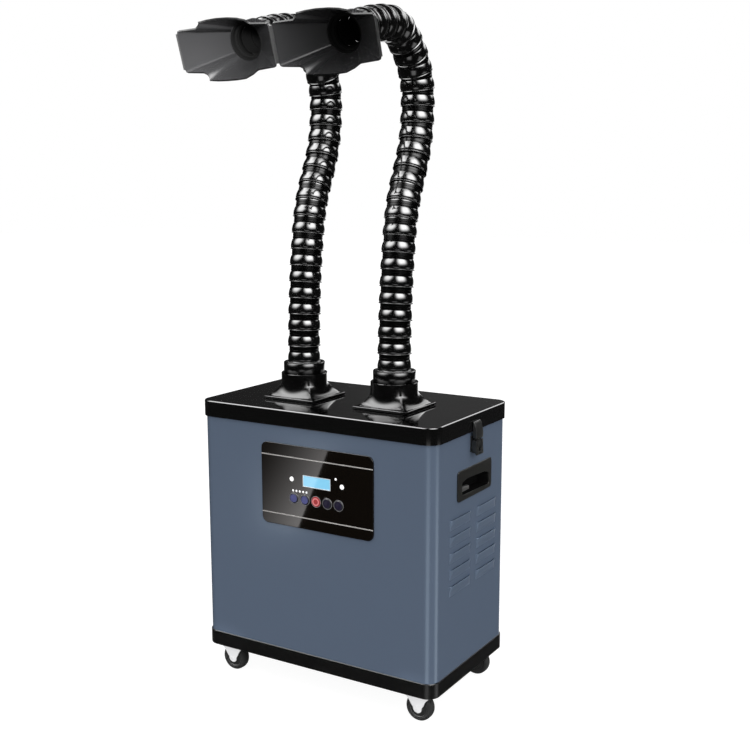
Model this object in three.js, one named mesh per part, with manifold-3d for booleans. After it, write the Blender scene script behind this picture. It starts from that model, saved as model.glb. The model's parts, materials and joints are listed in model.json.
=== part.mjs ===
// Salon fume extractor: a filter cabinet on casters with two ball-ring arms that end in hoods.
// Millimetres, +Z up, front towards -Y. The origin is the middle of the base of the whole object.
import * as THREE from "three";
import { mergeVertices } from "three/addons/utils/BufferGeometryUtils.js";
import Module from "manifold-3d";

const wasm = await Module();
wasm.setup();

// Driving dimensions

const gap = 0.3; // between pieces that rest on each other
const overrun = 2; // of every cut past the face it opens

const body = { width: 480, depth: 274, height: 409, corner: 21, wall: 2 };
const tray = { height: 27, overhang: 2.1, floor: 4, rim: 9 };
const lid = { height: 29.3, overhang: 3.6, plate: 3, rim: 9, rib: 5, ductRadius: 31 };
const caster = {
  height: 54, wheelRadius: 24.8, wheelWidth: 18, hubRadius: 9, hubWidth: 19, tyreEdge: 4,
  insetX: 41, insetY: 29, trail: 2, sideGap: 1, sheet: 2, headWidth: 50, crown: 1.6,
  axleRadius: 3, stemRadius: 4, stemLength: 14, runGap: 0.5, plateRadius: 20, plateHeight: 1.6,
  plateDrop: 0.2, tipRadius: 6, bossRadius: 9,
};
const filterRoom = { side: 35, front: 33, back: 9 }; // between the filters and the cabinet's outside
const filter = {
  width: body.width - 2 * filterRoom.side, depth: body.depth - filterRoom.front - filterRoom.back,
  shiftY: (filterRoom.front - filterRoom.back) / 2, frame: 12, plenum: 12, height: 88, pleats: 10,
};
const shelf = { height: 3, z: 352, inletRadius: 66, notchWidth: 196, notchDepth: 20 };
const gasket = { height: 5.5, width: 14 };
const fan = {
  radius: 88, growth: 34, wall: 2.5, height: 92, outlet: 150, inletRadius: 60, shaftHole: 11,
  wheelRadius: 72, wheelHeight: 58, wheelLift: 14, disc: 2.5, shroud: 44, hubRadius: 14, hubHeight: 26,
  bladeThick: 2.5, bladeInner: 38, bladeBite: 1, shaftRadius: 5, motorRadius: 50, motorHeight: 84, motorFlange: 62,
  flangeHeight: 4, motorBevel: 8,
};
const panel = {
  width: 231, height: 147, thick: 3, corner: 8, x: 10.7, z: 304.5, windowWidth: 196, windowHeight: 112,
  bossRadius: 3.5, bossLength: 10.7, board: 1.6, boardWidth: 184, boardHeight: 100, boardEdge: 6,
};
const screen = { width: 57.4, height: 20.6, x: 11.8, z: 317.4, lip: 3.2, lipThick: 4, sink: 0.4 };
const guide = {
  plate: 1.5, marginX: 7, marginZ: 8.7, fit: 0.6, bigX: 52.1, bigRadius: 4.3, smallX: 39.7, smallZ: 12,
  smallRadius: 2.2, rowX: -49.3, rowZ: -20.2, rowPitch: 7.05, rowRadius: 2, flush: 0.1,
};
const button = {
  pitch: 23.2, z: 283.8, x: 10.8, radius: 9, proud: 1.4, crown: 1.2, fit: 0.6, flange: 10.2, flangeThick: 1.5,
  stem: 3, travel: 0.7, switchSize: 6, switchHeight: 2.5,
};
const handle = {
  width: 128, height: 53, corner: 6, thick: 2.5, y: 6.5, z: 322, cupWidth: 110, cupHeight: 43, depth: 24,
  wall: 2, slotWidth: 104, slotHeight: 27, slotDrop: 5.5, cover: 3,
};
const louvre = { length: 76, height: 18, lift: 3.4, sheet: 1.2, rows: 5, pitch: 28.8, topZ: 270, y: [-43.5, 55.8], hole: 12 };
const inlet = {
  width: 50, height: 30, flange: 2.5, bodyWidth: 28, bodyHeight: 21, depth: 24, mouthWidth: 23, mouthHeight: 16,
  mouthDepth: 17, pinWidth: 2, pinHeight: 4, pinLength: 12, pinPitch: 7, pinRise: 2, fromSide: 90, z: 62,
};
const latch = {
  y: 3, width: 25.4, top: 508, crease: 477, foot: 450, pivotOut: 6.5, pivotZ: 474, linkDrop: 9, base: 2,
  baseLow: 455, baseHigh: 482, ear: 2, earIn: 4.2, earHead: 4.2, pin: 2, linkPin: 1.8, pinFit: 0.6,
  cheek: 2.2, leverIn: 9.6, leverThick: 2.6, cheekHead: 3.7, slot: 13.4, bridge: 4, lap: 2, tail: 7, tailHead: 3.3, bite: 0.4,
};
const flange = { size: 108.5, plate: 5, corner: 3, flareTop: 26, collarRadius: 42, step: 46, bore: 33.6, wall: 4 };
const swivel = { radius: 37.5, top: 65.5, cupRadius: 30.2, sleeveRadius: 32.7, sleeveDrop: 22, floorTop: 52 };
const arm = { spacing: 191, y: -18, footRadius: 29.2 };
const ring = {
  pitch: 28.85, lip: 30, barrel: 29.6, valley: 27.35, bore: 24, pivotDrop: 6, ball: 28.2, socket: 29,
  rim: 25, underLip: 0.3, straightFoot: 10, straightHead: 15,
};
const ringShares = { barrel: 0.5 };
const ballAngles = [-17, -2, 12];
// Rings in each section of an arm, and the forward lean it adds, in degrees
const sections = [
  { rings: 4, lean: -4 },
  { rings: 4, lean: -4 },
  { rings: 4, lean: -18 },
  { rings: 4, lean: 23 },
  { rings: 4, lean: 48 },
  { rings: 3, lean: 53 },
  { rings: 3, lean: 9.4 },
];
const hood = {
  halfWidth: 92, halfHeight: 35, corner: 6, lobeRoot: 55, lobeTip: 46, lobeHeight: 45, crown: 49.5, bulge: 1.8,
  wall: 2.5, throat: 29, depth: 55.5, throatRadius: 31, stepRadius: 28.5, stepDepth: 12, lip: 31.5, shoulder: 15,
};
const forkShares = { waistOut: 0.82, waistHigh: 0.3, waistLow: 0.62, shank: 1.15, chin: 0.7 };
const hookShares = { straight: 0.35, bend: 0.75, bow: 0.6, tip: 0.3 };
const mouthShares = { curl: 0.35, crown: 0.55, crownRise: 0.75 };
const round = { corner: 4, hose: 12, ring: 16, small: 12, wheel: 16, fan: 20 }; // facets of each kind of round

const z0 = caster.height; // underside of the tray
const zBody = z0 + tray.height;
const zLid = zBody + body.height;
const zLidTop = zLid + lid.height;
const front = -body.depth / 2;
const side = body.width / 2;
const inletX = side - inlet.fromSide;

// Materials

const paint = (color, roughness, metalness = 0) => new THREE.MeshStandardMaterial({ color, roughness, metalness });
const finish = {
  blue: paint(0x566373, 0.55),
  satinBlack: paint(0x1c1c1c, 0.5),
  glossBlack: paint(0x0c0c0d, 0.12),
  darkGrey: paint(0x2e2e2e, 0.55),
  hose: paint(0x101011, 0.18),
  hood: paint(0x4a4a4b, 0.4),
  steel: paint(0xc4c4c4, 0.35, 0.9),
  zinc: paint(0x9a9da0, 0.45, 0.8),
  rubber: paint(0x161616, 0.7),
  foam: paint(0x2a2a2a, 0.95),
  filter: paint(0xd9dad6, 0.9),
  board: paint(0x1f5a35, 0.5),
  screen: paint(0x8fb4d8, 0.2),
  white: paint(0xe8e8e8, 0.4),
  navy: paint(0x2d3350, 0.4),
  violet: paint(0x4c4f86, 0.4),
  red: paint(0xb02a2f, 0.4),
};

// Solids

// A closed three.js geometry as a solid that can be joined and cut.
function solid(geometry) {
  const bare = geometry.clone();
  bare.deleteAttribute("normal");
  bare.deleteAttribute("uv");
  const merged = mergeVertices(bare, 1e-4);
  return new wasm.Manifold(
    new wasm.Mesh({
      numProp: 3,
      vertProperties: merged.attributes.position.array,
      triVerts: new Uint32Array(merged.index.array),
    }),
  );
}

// The solid as a geometry again.
function geometryOf(made) {
  const mesh = made.getMesh();
  return new THREE.BufferGeometry()
    .setAttribute("position", new THREE.BufferAttribute(mesh.vertProperties, 3))
    .setIndex(new THREE.BufferAttribute(mesh.triVerts, 1));
}

const join = (first, ...rest) => rest.reduce((sum, next) => sum.add(next), first);
const cut = (first, ...rest) => rest.reduce((sum, next) => sum.subtract(next), first);

// A named node of one finish.
function node(name, made, material) {
  const geometry = made.isBufferGeometry ? made : geometryOf(made);
  geometry.computeVertexNormals();
  const mesh = new THREE.Mesh(geometry, material);
  mesh.name = name;
  return mesh;
}

// A box between two corners.
function block(low, high) {
  const size = high.map((value, i) => value - low[i]);
  const middle = high.map((value, i) => (value + low[i]) / 2);
  return solid(new THREE.BoxGeometry(...size).translate(...middle));
}

// A rectangle with round corners, as an outline.
function roundedOutline(width, height, radius) {
  const x = width / 2 - radius;
  const y = height / 2 - radius;
  const shape = new THREE.Shape();
  shape.absarc(x, -y, radius, -Math.PI / 2, 0);
  shape.absarc(x, y, radius, 0, Math.PI / 2);
  shape.absarc(-x, y, radius, Math.PI / 2, Math.PI);
  shape.absarc(-x, -y, radius, Math.PI, 1.5 * Math.PI);
  shape.closePath();
  return shape;
}

// An outline through points.
const outline = (points) => new THREE.Shape(points.map(([x, y]) => new THREE.Vector2(x, y)));

// An outline drawn out along +Z from z by a height.
function prism(shape, z, height, curveSegments = round.corner) {
  return new THREE.ExtrudeGeometry(shape, { depth: height, bevelEnabled: false, curveSegments }).translate(0, 0, z);
}

// A round rectangle drawn out between two heights, about a middle.
function roundedBlock([width, depth, radius], low, high, x = 0, y = 0) {
  return solid(prism(roundedOutline(width, depth, radius), low, high - low).translate(x, y, 0));
}

// A prism whose outline lies in a side view: first axis +Y, second axis +Z, drawn out along +X.
function sideways(shape, x, width, curveSegments) {
  return prism(shape, 0, width, curveSegments)
    .applyMatrix4(new THREE.Matrix4().makeBasis(
      new THREE.Vector3(0, 1, 0), new THREE.Vector3(0, 0, 1), new THREE.Vector3(1, 0, 0),
    ))
    .translate(x, 0, 0);
}

// A prism whose outline lies in a front view: first axis +X, second axis +Z, drawn out forwards from y.
function frontways(shape, y, depth, curveSegments) {
  return prism(shape, 0, depth, curveSegments).rotateX(Math.PI / 2).translate(0, y, 0);
}

// A body turned about +Z from a closed profile of [radius, height] points, anticlockwise.
function turned(profile, segments = round.small) {
  const points = [...profile, profile[0]].map(([r, z]) => new THREE.Vector2(r, z));
  return new THREE.LatheGeometry(points, segments).rotateX(Math.PI / 2);
}

// A round bar along +Z.
function bar(radius, low, high, segments = round.small) {
  return new THREE.CylinderGeometry(radius, radius, high - low, segments)
    .rotateX(Math.PI / 2)
    .translate(0, 0, (low + high) / 2);
}

// The same geometry laid along +Y, its +Z end towards +Y.
const alongY = (geometry) => geometry.rotateX(-Math.PI / 2);

// Cabinet

// One pressed louvre on the +X side: a scoop, open along its top edge, over a hole in the wall.
function louvreScoop(y, top) {
  const half = louvre.length / 2;
  const wedge = (inset, lift) => outline([
    [side - overrun / 2, top - inset * overrun],
    [side - overrun / 2, top - louvre.height + inset],
    [side, top - louvre.height + inset],
    [side + lift, top],
    [side + lift, top + (inset ? overrun : 0)],
    [side - overrun / 2, top + (inset ? overrun : 0)],
  ].filter((point, i) => i !== 0 || inset));
  const scoop = solid(frontways(wedge(0, louvre.lift), y + half, louvre.length));
  const inside = solid(frontways(
    wedge(louvre.sheet, louvre.lift - louvre.sheet), y + half - louvre.sheet, louvre.length - 2 * louvre.sheet,
  ));
  return { scoop, inside };
}

function cabinetShell() {
  const inner = [body.width - 2 * body.wall, body.depth - 2 * body.wall, body.corner - body.wall];
  let shell = cut(
    roundedBlock([body.width, body.depth, body.corner], zBody, zLid),
    roundedBlock(inner, zBody - overrun, zLid + overrun),
  );
  const window = block(
    [panel.x - panel.windowWidth / 2, front - overrun, zBody + panel.z - panel.windowHeight / 2],
    [panel.x + panel.windowWidth / 2, front + body.wall + overrun, zBody + panel.z + panel.windowHeight / 2],
  );
  const socketHole = block(
    [inletX - inlet.bodyWidth / 2 - gap, -front - body.wall - overrun, zBody + inlet.z - inlet.bodyHeight / 2 - gap],
    [inletX + inlet.bodyWidth / 2 + gap, -front + overrun, zBody + inlet.z + inlet.bodyHeight / 2 + gap],
  );
  shell = cut(shell, window, socketHole);
  const handleHole = block(
    [side - body.wall - overrun, handle.y - handle.cupWidth / 2 - gap, zBody + handle.z - handle.cupHeight / 2 - gap],
    [side + overrun, handle.y + handle.cupWidth / 2 + gap, zBody + handle.z + handle.cupHeight / 2 + gap],
  );
  shell = cut(shell, handleHole, handleHole.mirror([1, 0, 0]));
  for (const y of louvre.y) {
    for (let row = 0; row < louvre.rows; row += 1) {
      const top = zBody + louvre.topZ - row * louvre.pitch;
      const { scoop, inside } = louvreScoop(y, top);
      const half = louvre.length / 2 - louvre.sheet;
      const hole = block(
        [side - body.wall - overrun, y - half, top - louvre.hole],
        [side + gap, y + half, top - louvre.sheet],
      );
      for (const piece of [(s) => s, (s) => s.mirror([1, 0, 0])]) {
        shell = cut(shell.add(piece(cut(scoop, inside))), piece(hole));
      }
    }
  }
  return node("cabinet_shell", shell, finish.blue);
}

function baseTray() {
  const width = body.width + 2 * tray.overhang;
  const depth = body.depth + 2 * tray.overhang;
  const corner = body.corner + tray.overhang;
  let made = cut(
    roundedBlock([width, depth, corner], z0, zBody),
    roundedBlock([width - 2 * tray.rim, depth - 2 * tray.rim, corner - tray.rim], z0 + tray.floor, zBody + overrun),
  );
  for (const [x, y] of casterPlaces()) {
    const boss = solid(bar(caster.bossRadius, z0 + tray.floor / 2, z0 + caster.stemLength + tray.floor).translate(x, y, 0));
    const socket = solid(
      bar(caster.stemRadius + caster.runGap, z0 - overrun, z0 + caster.stemLength + gap).translate(x, y, 0),
    );
    made = cut(made.add(boss), socket);
  }
  return node("base_tray", made, finish.satinBlack);
}

// Swivel axes of the four casters, front left first.
function casterPlaces() {
  const x = side - caster.insetX;
  const y = -front - caster.insetY;
  return [[-x, -y], [x, -y], [-x, y], [x, y]];
}

function filterShelf() {
  const made = cut(
    roundedBlock(
      [body.width - 2 * (body.wall + gap), body.depth - 2 * (body.wall + gap), body.corner - body.wall - gap],
      shelf.z, shelf.z + shelf.height,
    ),
    solid(bar(shelf.inletRadius, shelf.z - overrun, shelf.z + shelf.height + overrun, round.fan)),
    block([panel.x - shelf.notchWidth / 2, front - overrun, shelf.z - overrun],
      [panel.x + shelf.notchWidth / 2, front + shelf.notchDepth, shelf.z + shelf.height + overrun]),
  );
  return node("filter_shelf", made, finish.zinc);
}

// A rectangular filter cassette with a pleated pack recessed in its frame.
function cassette(name, low, height, recess, material) {
  const x = filter.width / 2;
  const y = filter.depth / 2;
  const pleat = (filter.width - 2 * filter.frame) / filter.pleats;
  const ridges = [[-x + filter.frame, low + height + overrun]];
  for (let i = 0; i < filter.pleats; i += 1) {
    const start = -x + filter.frame + i * pleat;
    ridges.push([start, low + height - recess], [start + pleat / 2, low + height - recess / 2]);
  }
  ridges.push([x - filter.frame, low + height - recess], [x - filter.frame, low + height + overrun]);
  const pack = solid(frontways(outline(ridges.reverse()), filter.shiftY + y - filter.frame, filter.depth - 2 * filter.frame));
  const plenum = block(
    [-x + filter.frame, filter.shiftY - y + filter.frame, low - overrun],
    [x - filter.frame, filter.shiftY + y - filter.frame, low + recess],
  );
  const frame = block([-x, filter.shiftY - y, low], [x, filter.shiftY + y, low + height]);
  return node(name, cut(frame, pack, plenum), material);
}

function filterStack() {
  const low = shelf.z + shelf.height + gap;
  const middle = low + filter.height + gap;
  const top = zLid - gap - gasket.height;
  const ringSeal = cut(
    block([-filter.width / 2, filter.shiftY - filter.depth / 2, top],
      [filter.width / 2, filter.shiftY + filter.depth / 2, top + gasket.height]),
    block([-filter.width / 2 + gasket.width, filter.shiftY - filter.depth / 2 + gasket.width, top - overrun],
      [filter.width / 2 - gasket.width, filter.shiftY + filter.depth / 2 - gasket.width, zLid + overrun]),
  );
  return {
    filters: [
      cassette("hepa_carbon_filter", low, filter.height, filter.plenum, finish.filter),
      cassette("prefilter", middle, top - gap - middle, filter.plenum / 2, finish.foam),
    ],
    seal: node("lid_gasket", ringSeal, finish.rubber),
  };
}

// Fan below the shelf

// The spiral outline of the fan housing, with its outlet towards +X.
function scroll(radius, outlet) {
  const points = [];
  const turns = round.fan;
  for (let i = 0; i <= turns; i += 1) {
    const angle = (2 * Math.PI * i) / turns;
    const r = radius + (fan.growth * i) / turns;
    points.push([r * Math.sin(angle), r * Math.cos(angle)]);
  }
  const last = points.pop();
  return outline([...points, [0, last[1]], [outlet, last[1]], [outlet, points[0][1]]].reverse());
}

function fanUnit() {
  const top = shelf.z - gap;
  const low = top - fan.height;
  const housing = cut(
    solid(prism(scroll(fan.radius, fan.outlet), low, fan.height)),
    solid(prism(scroll(fan.radius - fan.wall, fan.outlet + overrun), low + fan.wall, fan.height - 2 * fan.wall)),
    solid(bar(fan.inletRadius, top - 2 * fan.wall, top + overrun, round.fan)),
    solid(bar(fan.shaftHole, low - overrun, low + 2 * fan.wall)),
  );
  const motorTop = low - gap;
  const shaftTop = low + fan.wheelLift + fan.hubHeight;
  const motor = turned([
    [0, motorTop - fan.motorHeight],
    [fan.motorRadius - fan.motorBevel, motorTop - fan.motorHeight],
    [fan.motorRadius, motorTop - fan.motorHeight + fan.motorBevel],
    [fan.motorRadius, motorTop - fan.flangeHeight],
    [fan.motorFlange, motorTop - fan.flangeHeight],
    [fan.motorFlange, motorTop],
    [fan.shaftRadius, motorTop],
    [fan.shaftRadius, shaftTop],
    [0, shaftTop],
  ], round.fan);
  const disc = low + fan.wheelLift;
  const wheelTop = disc + fan.wheelHeight;
  let wheel = join(
    solid(bar(fan.wheelRadius, disc, disc + fan.disc, round.fan)),
    solid(bar(fan.hubRadius, disc + fan.disc / 2, disc + fan.hubHeight)),
  );
  const blades = 9;
  for (let i = 0; i < blades; i += 1) {
    const blade = new THREE.BoxGeometry(fan.wheelRadius - fan.bladeInner, fan.bladeThick, fan.wheelHeight - fan.disc)
      .rotateZ(-Math.PI / 6)
      .translate((fan.wheelRadius + fan.bladeInner) / 2 - fan.bladeBite, 0, (disc + fan.disc / 2 + wheelTop - fan.disc / 2) / 2)
      .rotateZ((2 * Math.PI * i) / blades);
    wheel = wheel.add(solid(blade));
  }
  const shroud = turned([
    [fan.shroud, wheelTop - fan.disc],
    [fan.wheelRadius, wheelTop - fan.disc],
    [fan.wheelRadius, wheelTop],
    [fan.shroud, wheelTop],
  ], round.fan);
  wheel = cut(wheel.add(solid(shroud)), solid(bar(fan.shaftRadius + gap, low, wheelTop, round.fan)));
  return [
    node("fan_housing", housing, finish.zinc),
    node("fan_motor", motor, finish.darkGrey),
    node("fan_impeller", wheel, finish.darkGrey),
  ];
}

// Control panel

const faceY = front - panel.thick; // outer face of the panel
const backY = front; // its back, on the cabinet's front
const boardY = backY + panel.bossLength; // front of the circuit board

// The light guide's pins: [x, z, radius].
function guidePins() {
  const z = screen.z;
  const row = [0, 1, 2, 3, 4].map((i) => [screen.x + guide.rowX + i * guide.rowPitch, z + guide.rowZ, guide.rowRadius]);
  return [
    [screen.x - guide.bigX, z, guide.bigRadius],
    [screen.x + guide.bigX, z, guide.bigRadius],
    [screen.x + guide.smallX, z + guide.smallZ, guide.smallRadius],
    ...row,
  ];
}

const buttonPlaces = [-2, -1, 0, 1, 2].map((i) => button.x + i * button.pitch);

function controlPanel() {
  const middleZ = zBody + panel.z;
  let fascia = solid(
    frontways(roundedOutline(panel.width, panel.height, panel.corner), 0, panel.thick).translate(panel.x, backY, middleZ),
  );
  const bossX = panel.boardWidth / 2 - panel.boardEdge;
  const bossZ = panel.boardHeight / 2 - panel.boardEdge;
  for (const sx of [-1, 1]) {
    for (const sz of [-1, 1]) {
      const boss = alongY(bar(panel.bossRadius, -panel.thick / 2, panel.bossLength - gap));
      fascia = fascia.add(solid(boss.translate(panel.x + sx * bossX, backY, middleZ + sz * bossZ)));
    }
  }
  const openingFor = (part) => block(
    [part.x - part.width / 2 - gap, faceY - overrun, zBody + part.z - part.height / 2 - gap],
    [part.x + part.width / 2 + gap, backY + overrun, zBody + part.z + part.height / 2 + gap],
  );
  fascia = cut(fascia, openingFor(screen));
  for (const [x, z, radius] of guidePins()) {
    const hole = alongY(bar(radius + gap, -overrun, panel.thick + overrun));
    fascia = fascia.subtract(solid(hole.translate(x, faceY, zBody + z)));
  }
  for (const x of buttonPlaces) {
    const hole = alongY(bar(button.radius + button.fit, -overrun, panel.thick + overrun, round.ring));
    fascia = fascia.subtract(solid(hole.translate(x, faceY, zBody + button.z)));
  }

  const lipWidth = screen.width / 2 + screen.lip;
  const lipHeight = screen.height / 2 + screen.lip;
  const display = join(
    block([screen.x - screen.width / 2, faceY + screen.sink, zBody + screen.z - screen.height / 2],
      [screen.x + screen.width / 2, boardY - gap, zBody + screen.z + screen.height / 2]),
    block([screen.x - lipWidth, backY + gap, zBody + screen.z - lipHeight],
      [screen.x + lipWidth, backY + gap + screen.lipThick, zBody + screen.z + lipHeight]),
  );

  const guideLow = backY + gap;
  const reachX = guide.bigX + guide.marginX;
  const bandLow = screen.z - lipHeight - guide.marginZ - guide.fit;
  const bandHigh = screen.z + lipHeight + guide.fit + guide.rowRadius * 2;
  let lights = cut(
    block([screen.x - reachX, guideLow, zBody + bandLow], [screen.x + reachX, guideLow + guide.plate, zBody + bandHigh]),
    block([screen.x - lipWidth - guide.fit, guideLow - overrun, zBody + screen.z - lipHeight - guide.fit],
      [screen.x + lipWidth + guide.fit, guideLow + guide.plate + overrun, zBody + screen.z + lipHeight + guide.fit]),
  );
  for (const [x, z, radius] of guidePins()) {
    const pin = alongY(bar(radius, 0, guideLow + guide.plate / 2 - faceY - guide.flush));
    lights = lights.add(solid(pin.translate(x, faceY + guide.flush, zBody + z)));
  }

  let board = block(
    [panel.x - panel.boardWidth / 2, boardY, middleZ - panel.boardHeight / 2],
    [panel.x + panel.boardWidth / 2, boardY + panel.board, middleZ + panel.boardHeight / 2],
  );
  for (const x of buttonPlaces) {
    const half = button.switchSize / 2;
    board = board.add(block(
      [x - half, boardY - button.switchHeight, zBody + button.z - half],
      [x + half, boardY + panel.board / 2, zBody + button.z + half],
    ));
  }

  const colours = [finish.violet, finish.violet, finish.red, finish.navy, finish.navy];
  const names = ["button_minus", "button_plus", "button_power", "button_speed", "button_timer"];
  const stemEnd = boardY - button.switchHeight - button.travel - gap - backY;
  const buttons = buttonPlaces.map((x, i) => {
    const cap = turned([
      [0, -panel.thick - button.proud],
      [button.radius - button.crown, -panel.thick - button.proud],
      [button.radius, -panel.thick],
      [button.radius, gap],
      [button.flange, gap],
      [button.flange, gap + button.flangeThick],
      [button.stem, gap + button.flangeThick],
      [button.stem, stemEnd],
      [0, stemEnd],
    ], round.ring);
    return node(names[i], alongY(cap).translate(x, backY, zBody + button.z), colours[i]);
  });
  return {
    fixed: [
      node("panel_fascia", fascia, finish.glossBlack),
      node("display_screen", display, finish.screen),
      node("indicator_light_guide", lights, finish.white),
      node("control_board", board, finish.board),
    ],
    buttons,
  };
}

// Handles, power inlet and latches

// A flush cup handle on the +X side.
function cupHandle(name) {
  const z = zBody + handle.z;
  const face = side + gap;
  const bezel = solid(
    sideways(roundedOutline(handle.width, handle.height, handle.corner), face, handle.thick).translate(0, handle.y, z),
  );
  const y = handle.cupWidth / 2;
  const high = handle.cupHeight / 2;
  const cup = block([side - handle.depth, handle.y - y, z - high], [face + handle.thick / 2, handle.y + y, z + high]);
  const slotLow = z - handle.slotDrop - handle.slotHeight / 2;
  const slot = block(
    [side - handle.depth + handle.wall, handle.y - handle.slotWidth / 2, slotLow],
    [face + handle.thick + overrun, handle.y + handle.slotWidth / 2, slotLow + handle.slotHeight],
  );
  const grip = block(
    [side - handle.depth + handle.wall, handle.y - handle.slotWidth / 2, slotLow],
    [face - handle.cover, handle.y + handle.slotWidth / 2, z + high - handle.wall],
  );
  return node(name, cut(bezel.add(cup), slot, grip), finish.darkGrey);
}

function powerInlet() {
  const z = zBody + inlet.z;
  const back = -front;
  const plate = block(
    [inletX - inlet.width / 2, back + gap, z - inlet.height / 2],
    [inletX + inlet.width / 2, back + gap + inlet.flange, z + inlet.height / 2],
  );
  const box = block(
    [inletX - inlet.bodyWidth / 2, back - inlet.depth, z - inlet.bodyHeight / 2],
    [inletX + inlet.bodyWidth / 2, back + gap + inlet.flange / 2, z + inlet.bodyHeight / 2],
  );
  const mouthEnd = back + gap + inlet.flange - inlet.mouthDepth;
  const mouth = block(
    [inletX - inlet.mouthWidth / 2, mouthEnd, z - inlet.mouthHeight / 2],
    [inletX + inlet.mouthWidth / 2, back + inlet.flange + overrun, z + inlet.mouthHeight / 2],
  );
  let made = cut(plate.add(box), mouth);
  for (const [step, rise] of [[-1, 0], [0, 1], [1, 0]]) {
    const x = inletX + step * inlet.pinPitch;
    const high = z + rise * inlet.pinRise;
    made = made.add(block(
      [x - inlet.pinWidth / 2, mouthEnd - gap, high - inlet.pinHeight / 2],
      [x + inlet.pinWidth / 2, mouthEnd + inlet.pinLength, high + inlet.pinHeight / 2],
    ));
  }
  return node("power_inlet", made, finish.satinBlack);
}

// A draw latch on the +X side: base with two ears, lever on the base, hook on the lever.
function drawLatch(sideName) {
  const x = side + latch.pivotOut;
  const z = latch.pivotZ;
  const linkZ = z - latch.linkDrop;
  const half = latch.width / 2;
  const earEnd = latch.earIn + latch.ear;
  const slab = (points, low, high) => solid(frontways(outline(points), latch.y + high, high - low));
  const pinAt = (radius, height, reach) => solid(
    alongY(bar(radius, -reach, reach)).translate(x, latch.y, height),
  );
  const disc = (radius, height, low, high) => solid(
    alongY(bar(radius, low, high)).translate(x, latch.y, height),
  );

  let base = block([side + gap, latch.y - half, latch.baseLow], [side + gap + latch.base, latch.y + half, latch.baseHigh]);
  for (const low of [latch.earIn, -earEnd]) {
    base = join(
      base,
      disc(latch.earHead, z, low, low + latch.ear),
      block([side + gap + latch.base / 2, latch.y + low, z - latch.earHead], [x, latch.y + low + latch.ear, z + latch.earHead]),
    );
  }
  base = base.subtract(pinAt(latch.pin + latch.pinFit, z, half));

  const plateIn = side + latch.leverIn;
  const plateOut = plateIn + latch.leverThick;
  const leverTop = latch.crease - latch.lap;
  let lever = cut(
    block([plateIn, latch.y - half, latch.foot], [plateOut, latch.y + half, leverTop]),
    block([plateIn - overrun, latch.y - latch.slot / 2, latch.foot + latch.bridge],
      [plateOut + overrun, latch.y + latch.slot / 2, leverTop + overrun]),
  );
  for (const low of [half - latch.cheek, -half]) {
    lever = join(
      lever,
      disc(latch.cheekHead, z, low, low + latch.cheek),
      block([x, latch.y + low, z - latch.cheekHead / 2], [plateIn + gap, latch.y + low + latch.cheek, z]),
      block([x - latch.pin, latch.y + low, linkZ - latch.cheekHead], [plateIn + gap, latch.y + low + latch.cheek, z]),
    );
  }
  lever = join(lever, pinAt(latch.pin, z, half - latch.cheek / 2), pinAt(latch.linkPin, linkZ, half - latch.cheek / 2));

  const lidFace = side + lid.overhang + latch.bite;
  const hookIn = plateIn - gap;
  const hookLow = latch.crease + latch.bite;
  const rise = latch.top - hookLow;
  const hook = slab([
    [hookIn, hookLow],
    [plateOut, hookLow],
    [plateOut, hookLow + rise * hookShares.straight],
    [plateOut - latch.leverThick * hookShares.bow, hookLow + rise * hookShares.bend],
    [lidFace + latch.leverThick, latch.top],
    [lidFace, latch.top - latch.leverThick * hookShares.tip],
    [plateOut - latch.leverThick - latch.leverThick * hookShares.bow, hookLow + rise * hookShares.bend],
    [hookIn, hookLow + rise * hookShares.straight],
  ], -half, half);
  const tailHalf = latch.tail / 2;
  const tail = slab([
    [x, linkZ - latch.linkPin],
    [x + latch.tailHead, linkZ],
    [plateOut, z],
    [plateOut, hookLow + gap],
    [hookIn, hookLow + gap],
    [hookIn, z + latch.pin],
    [x + latch.pin + gap * 3, z - latch.pin],
    [x, linkZ + latch.tailHead],
  ], -tailHalf, tailHalf);
  const eye = disc(latch.tailHead, linkZ, -tailHalf, tailHalf);
  const hookMade = cut(join(hook, tail, eye), pinAt(latch.linkPin + latch.pinFit / 2, linkZ, half));

  return [
    node(`latch_base_${sideName}`, base, finish.darkGrey),
    node(`latch_lever_${sideName}`, lever, finish.darkGrey),
    node(`latch_hook_${sideName}`, hookMade, finish.darkGrey),
  ];
}

// The same nodes mirrored to the -X side, with new names.
function mirrored(nodes, from, to) {
  return nodes.map((mesh) => {
    const copy = node(mesh.name.replace(from, to), solid(mesh.geometry).mirror([1, 0, 0]), mesh.material);
    return copy;
  });
}

// Casters

const casterNames = ["front_left", "front_right", "rear_left", "rear_right"];

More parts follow.
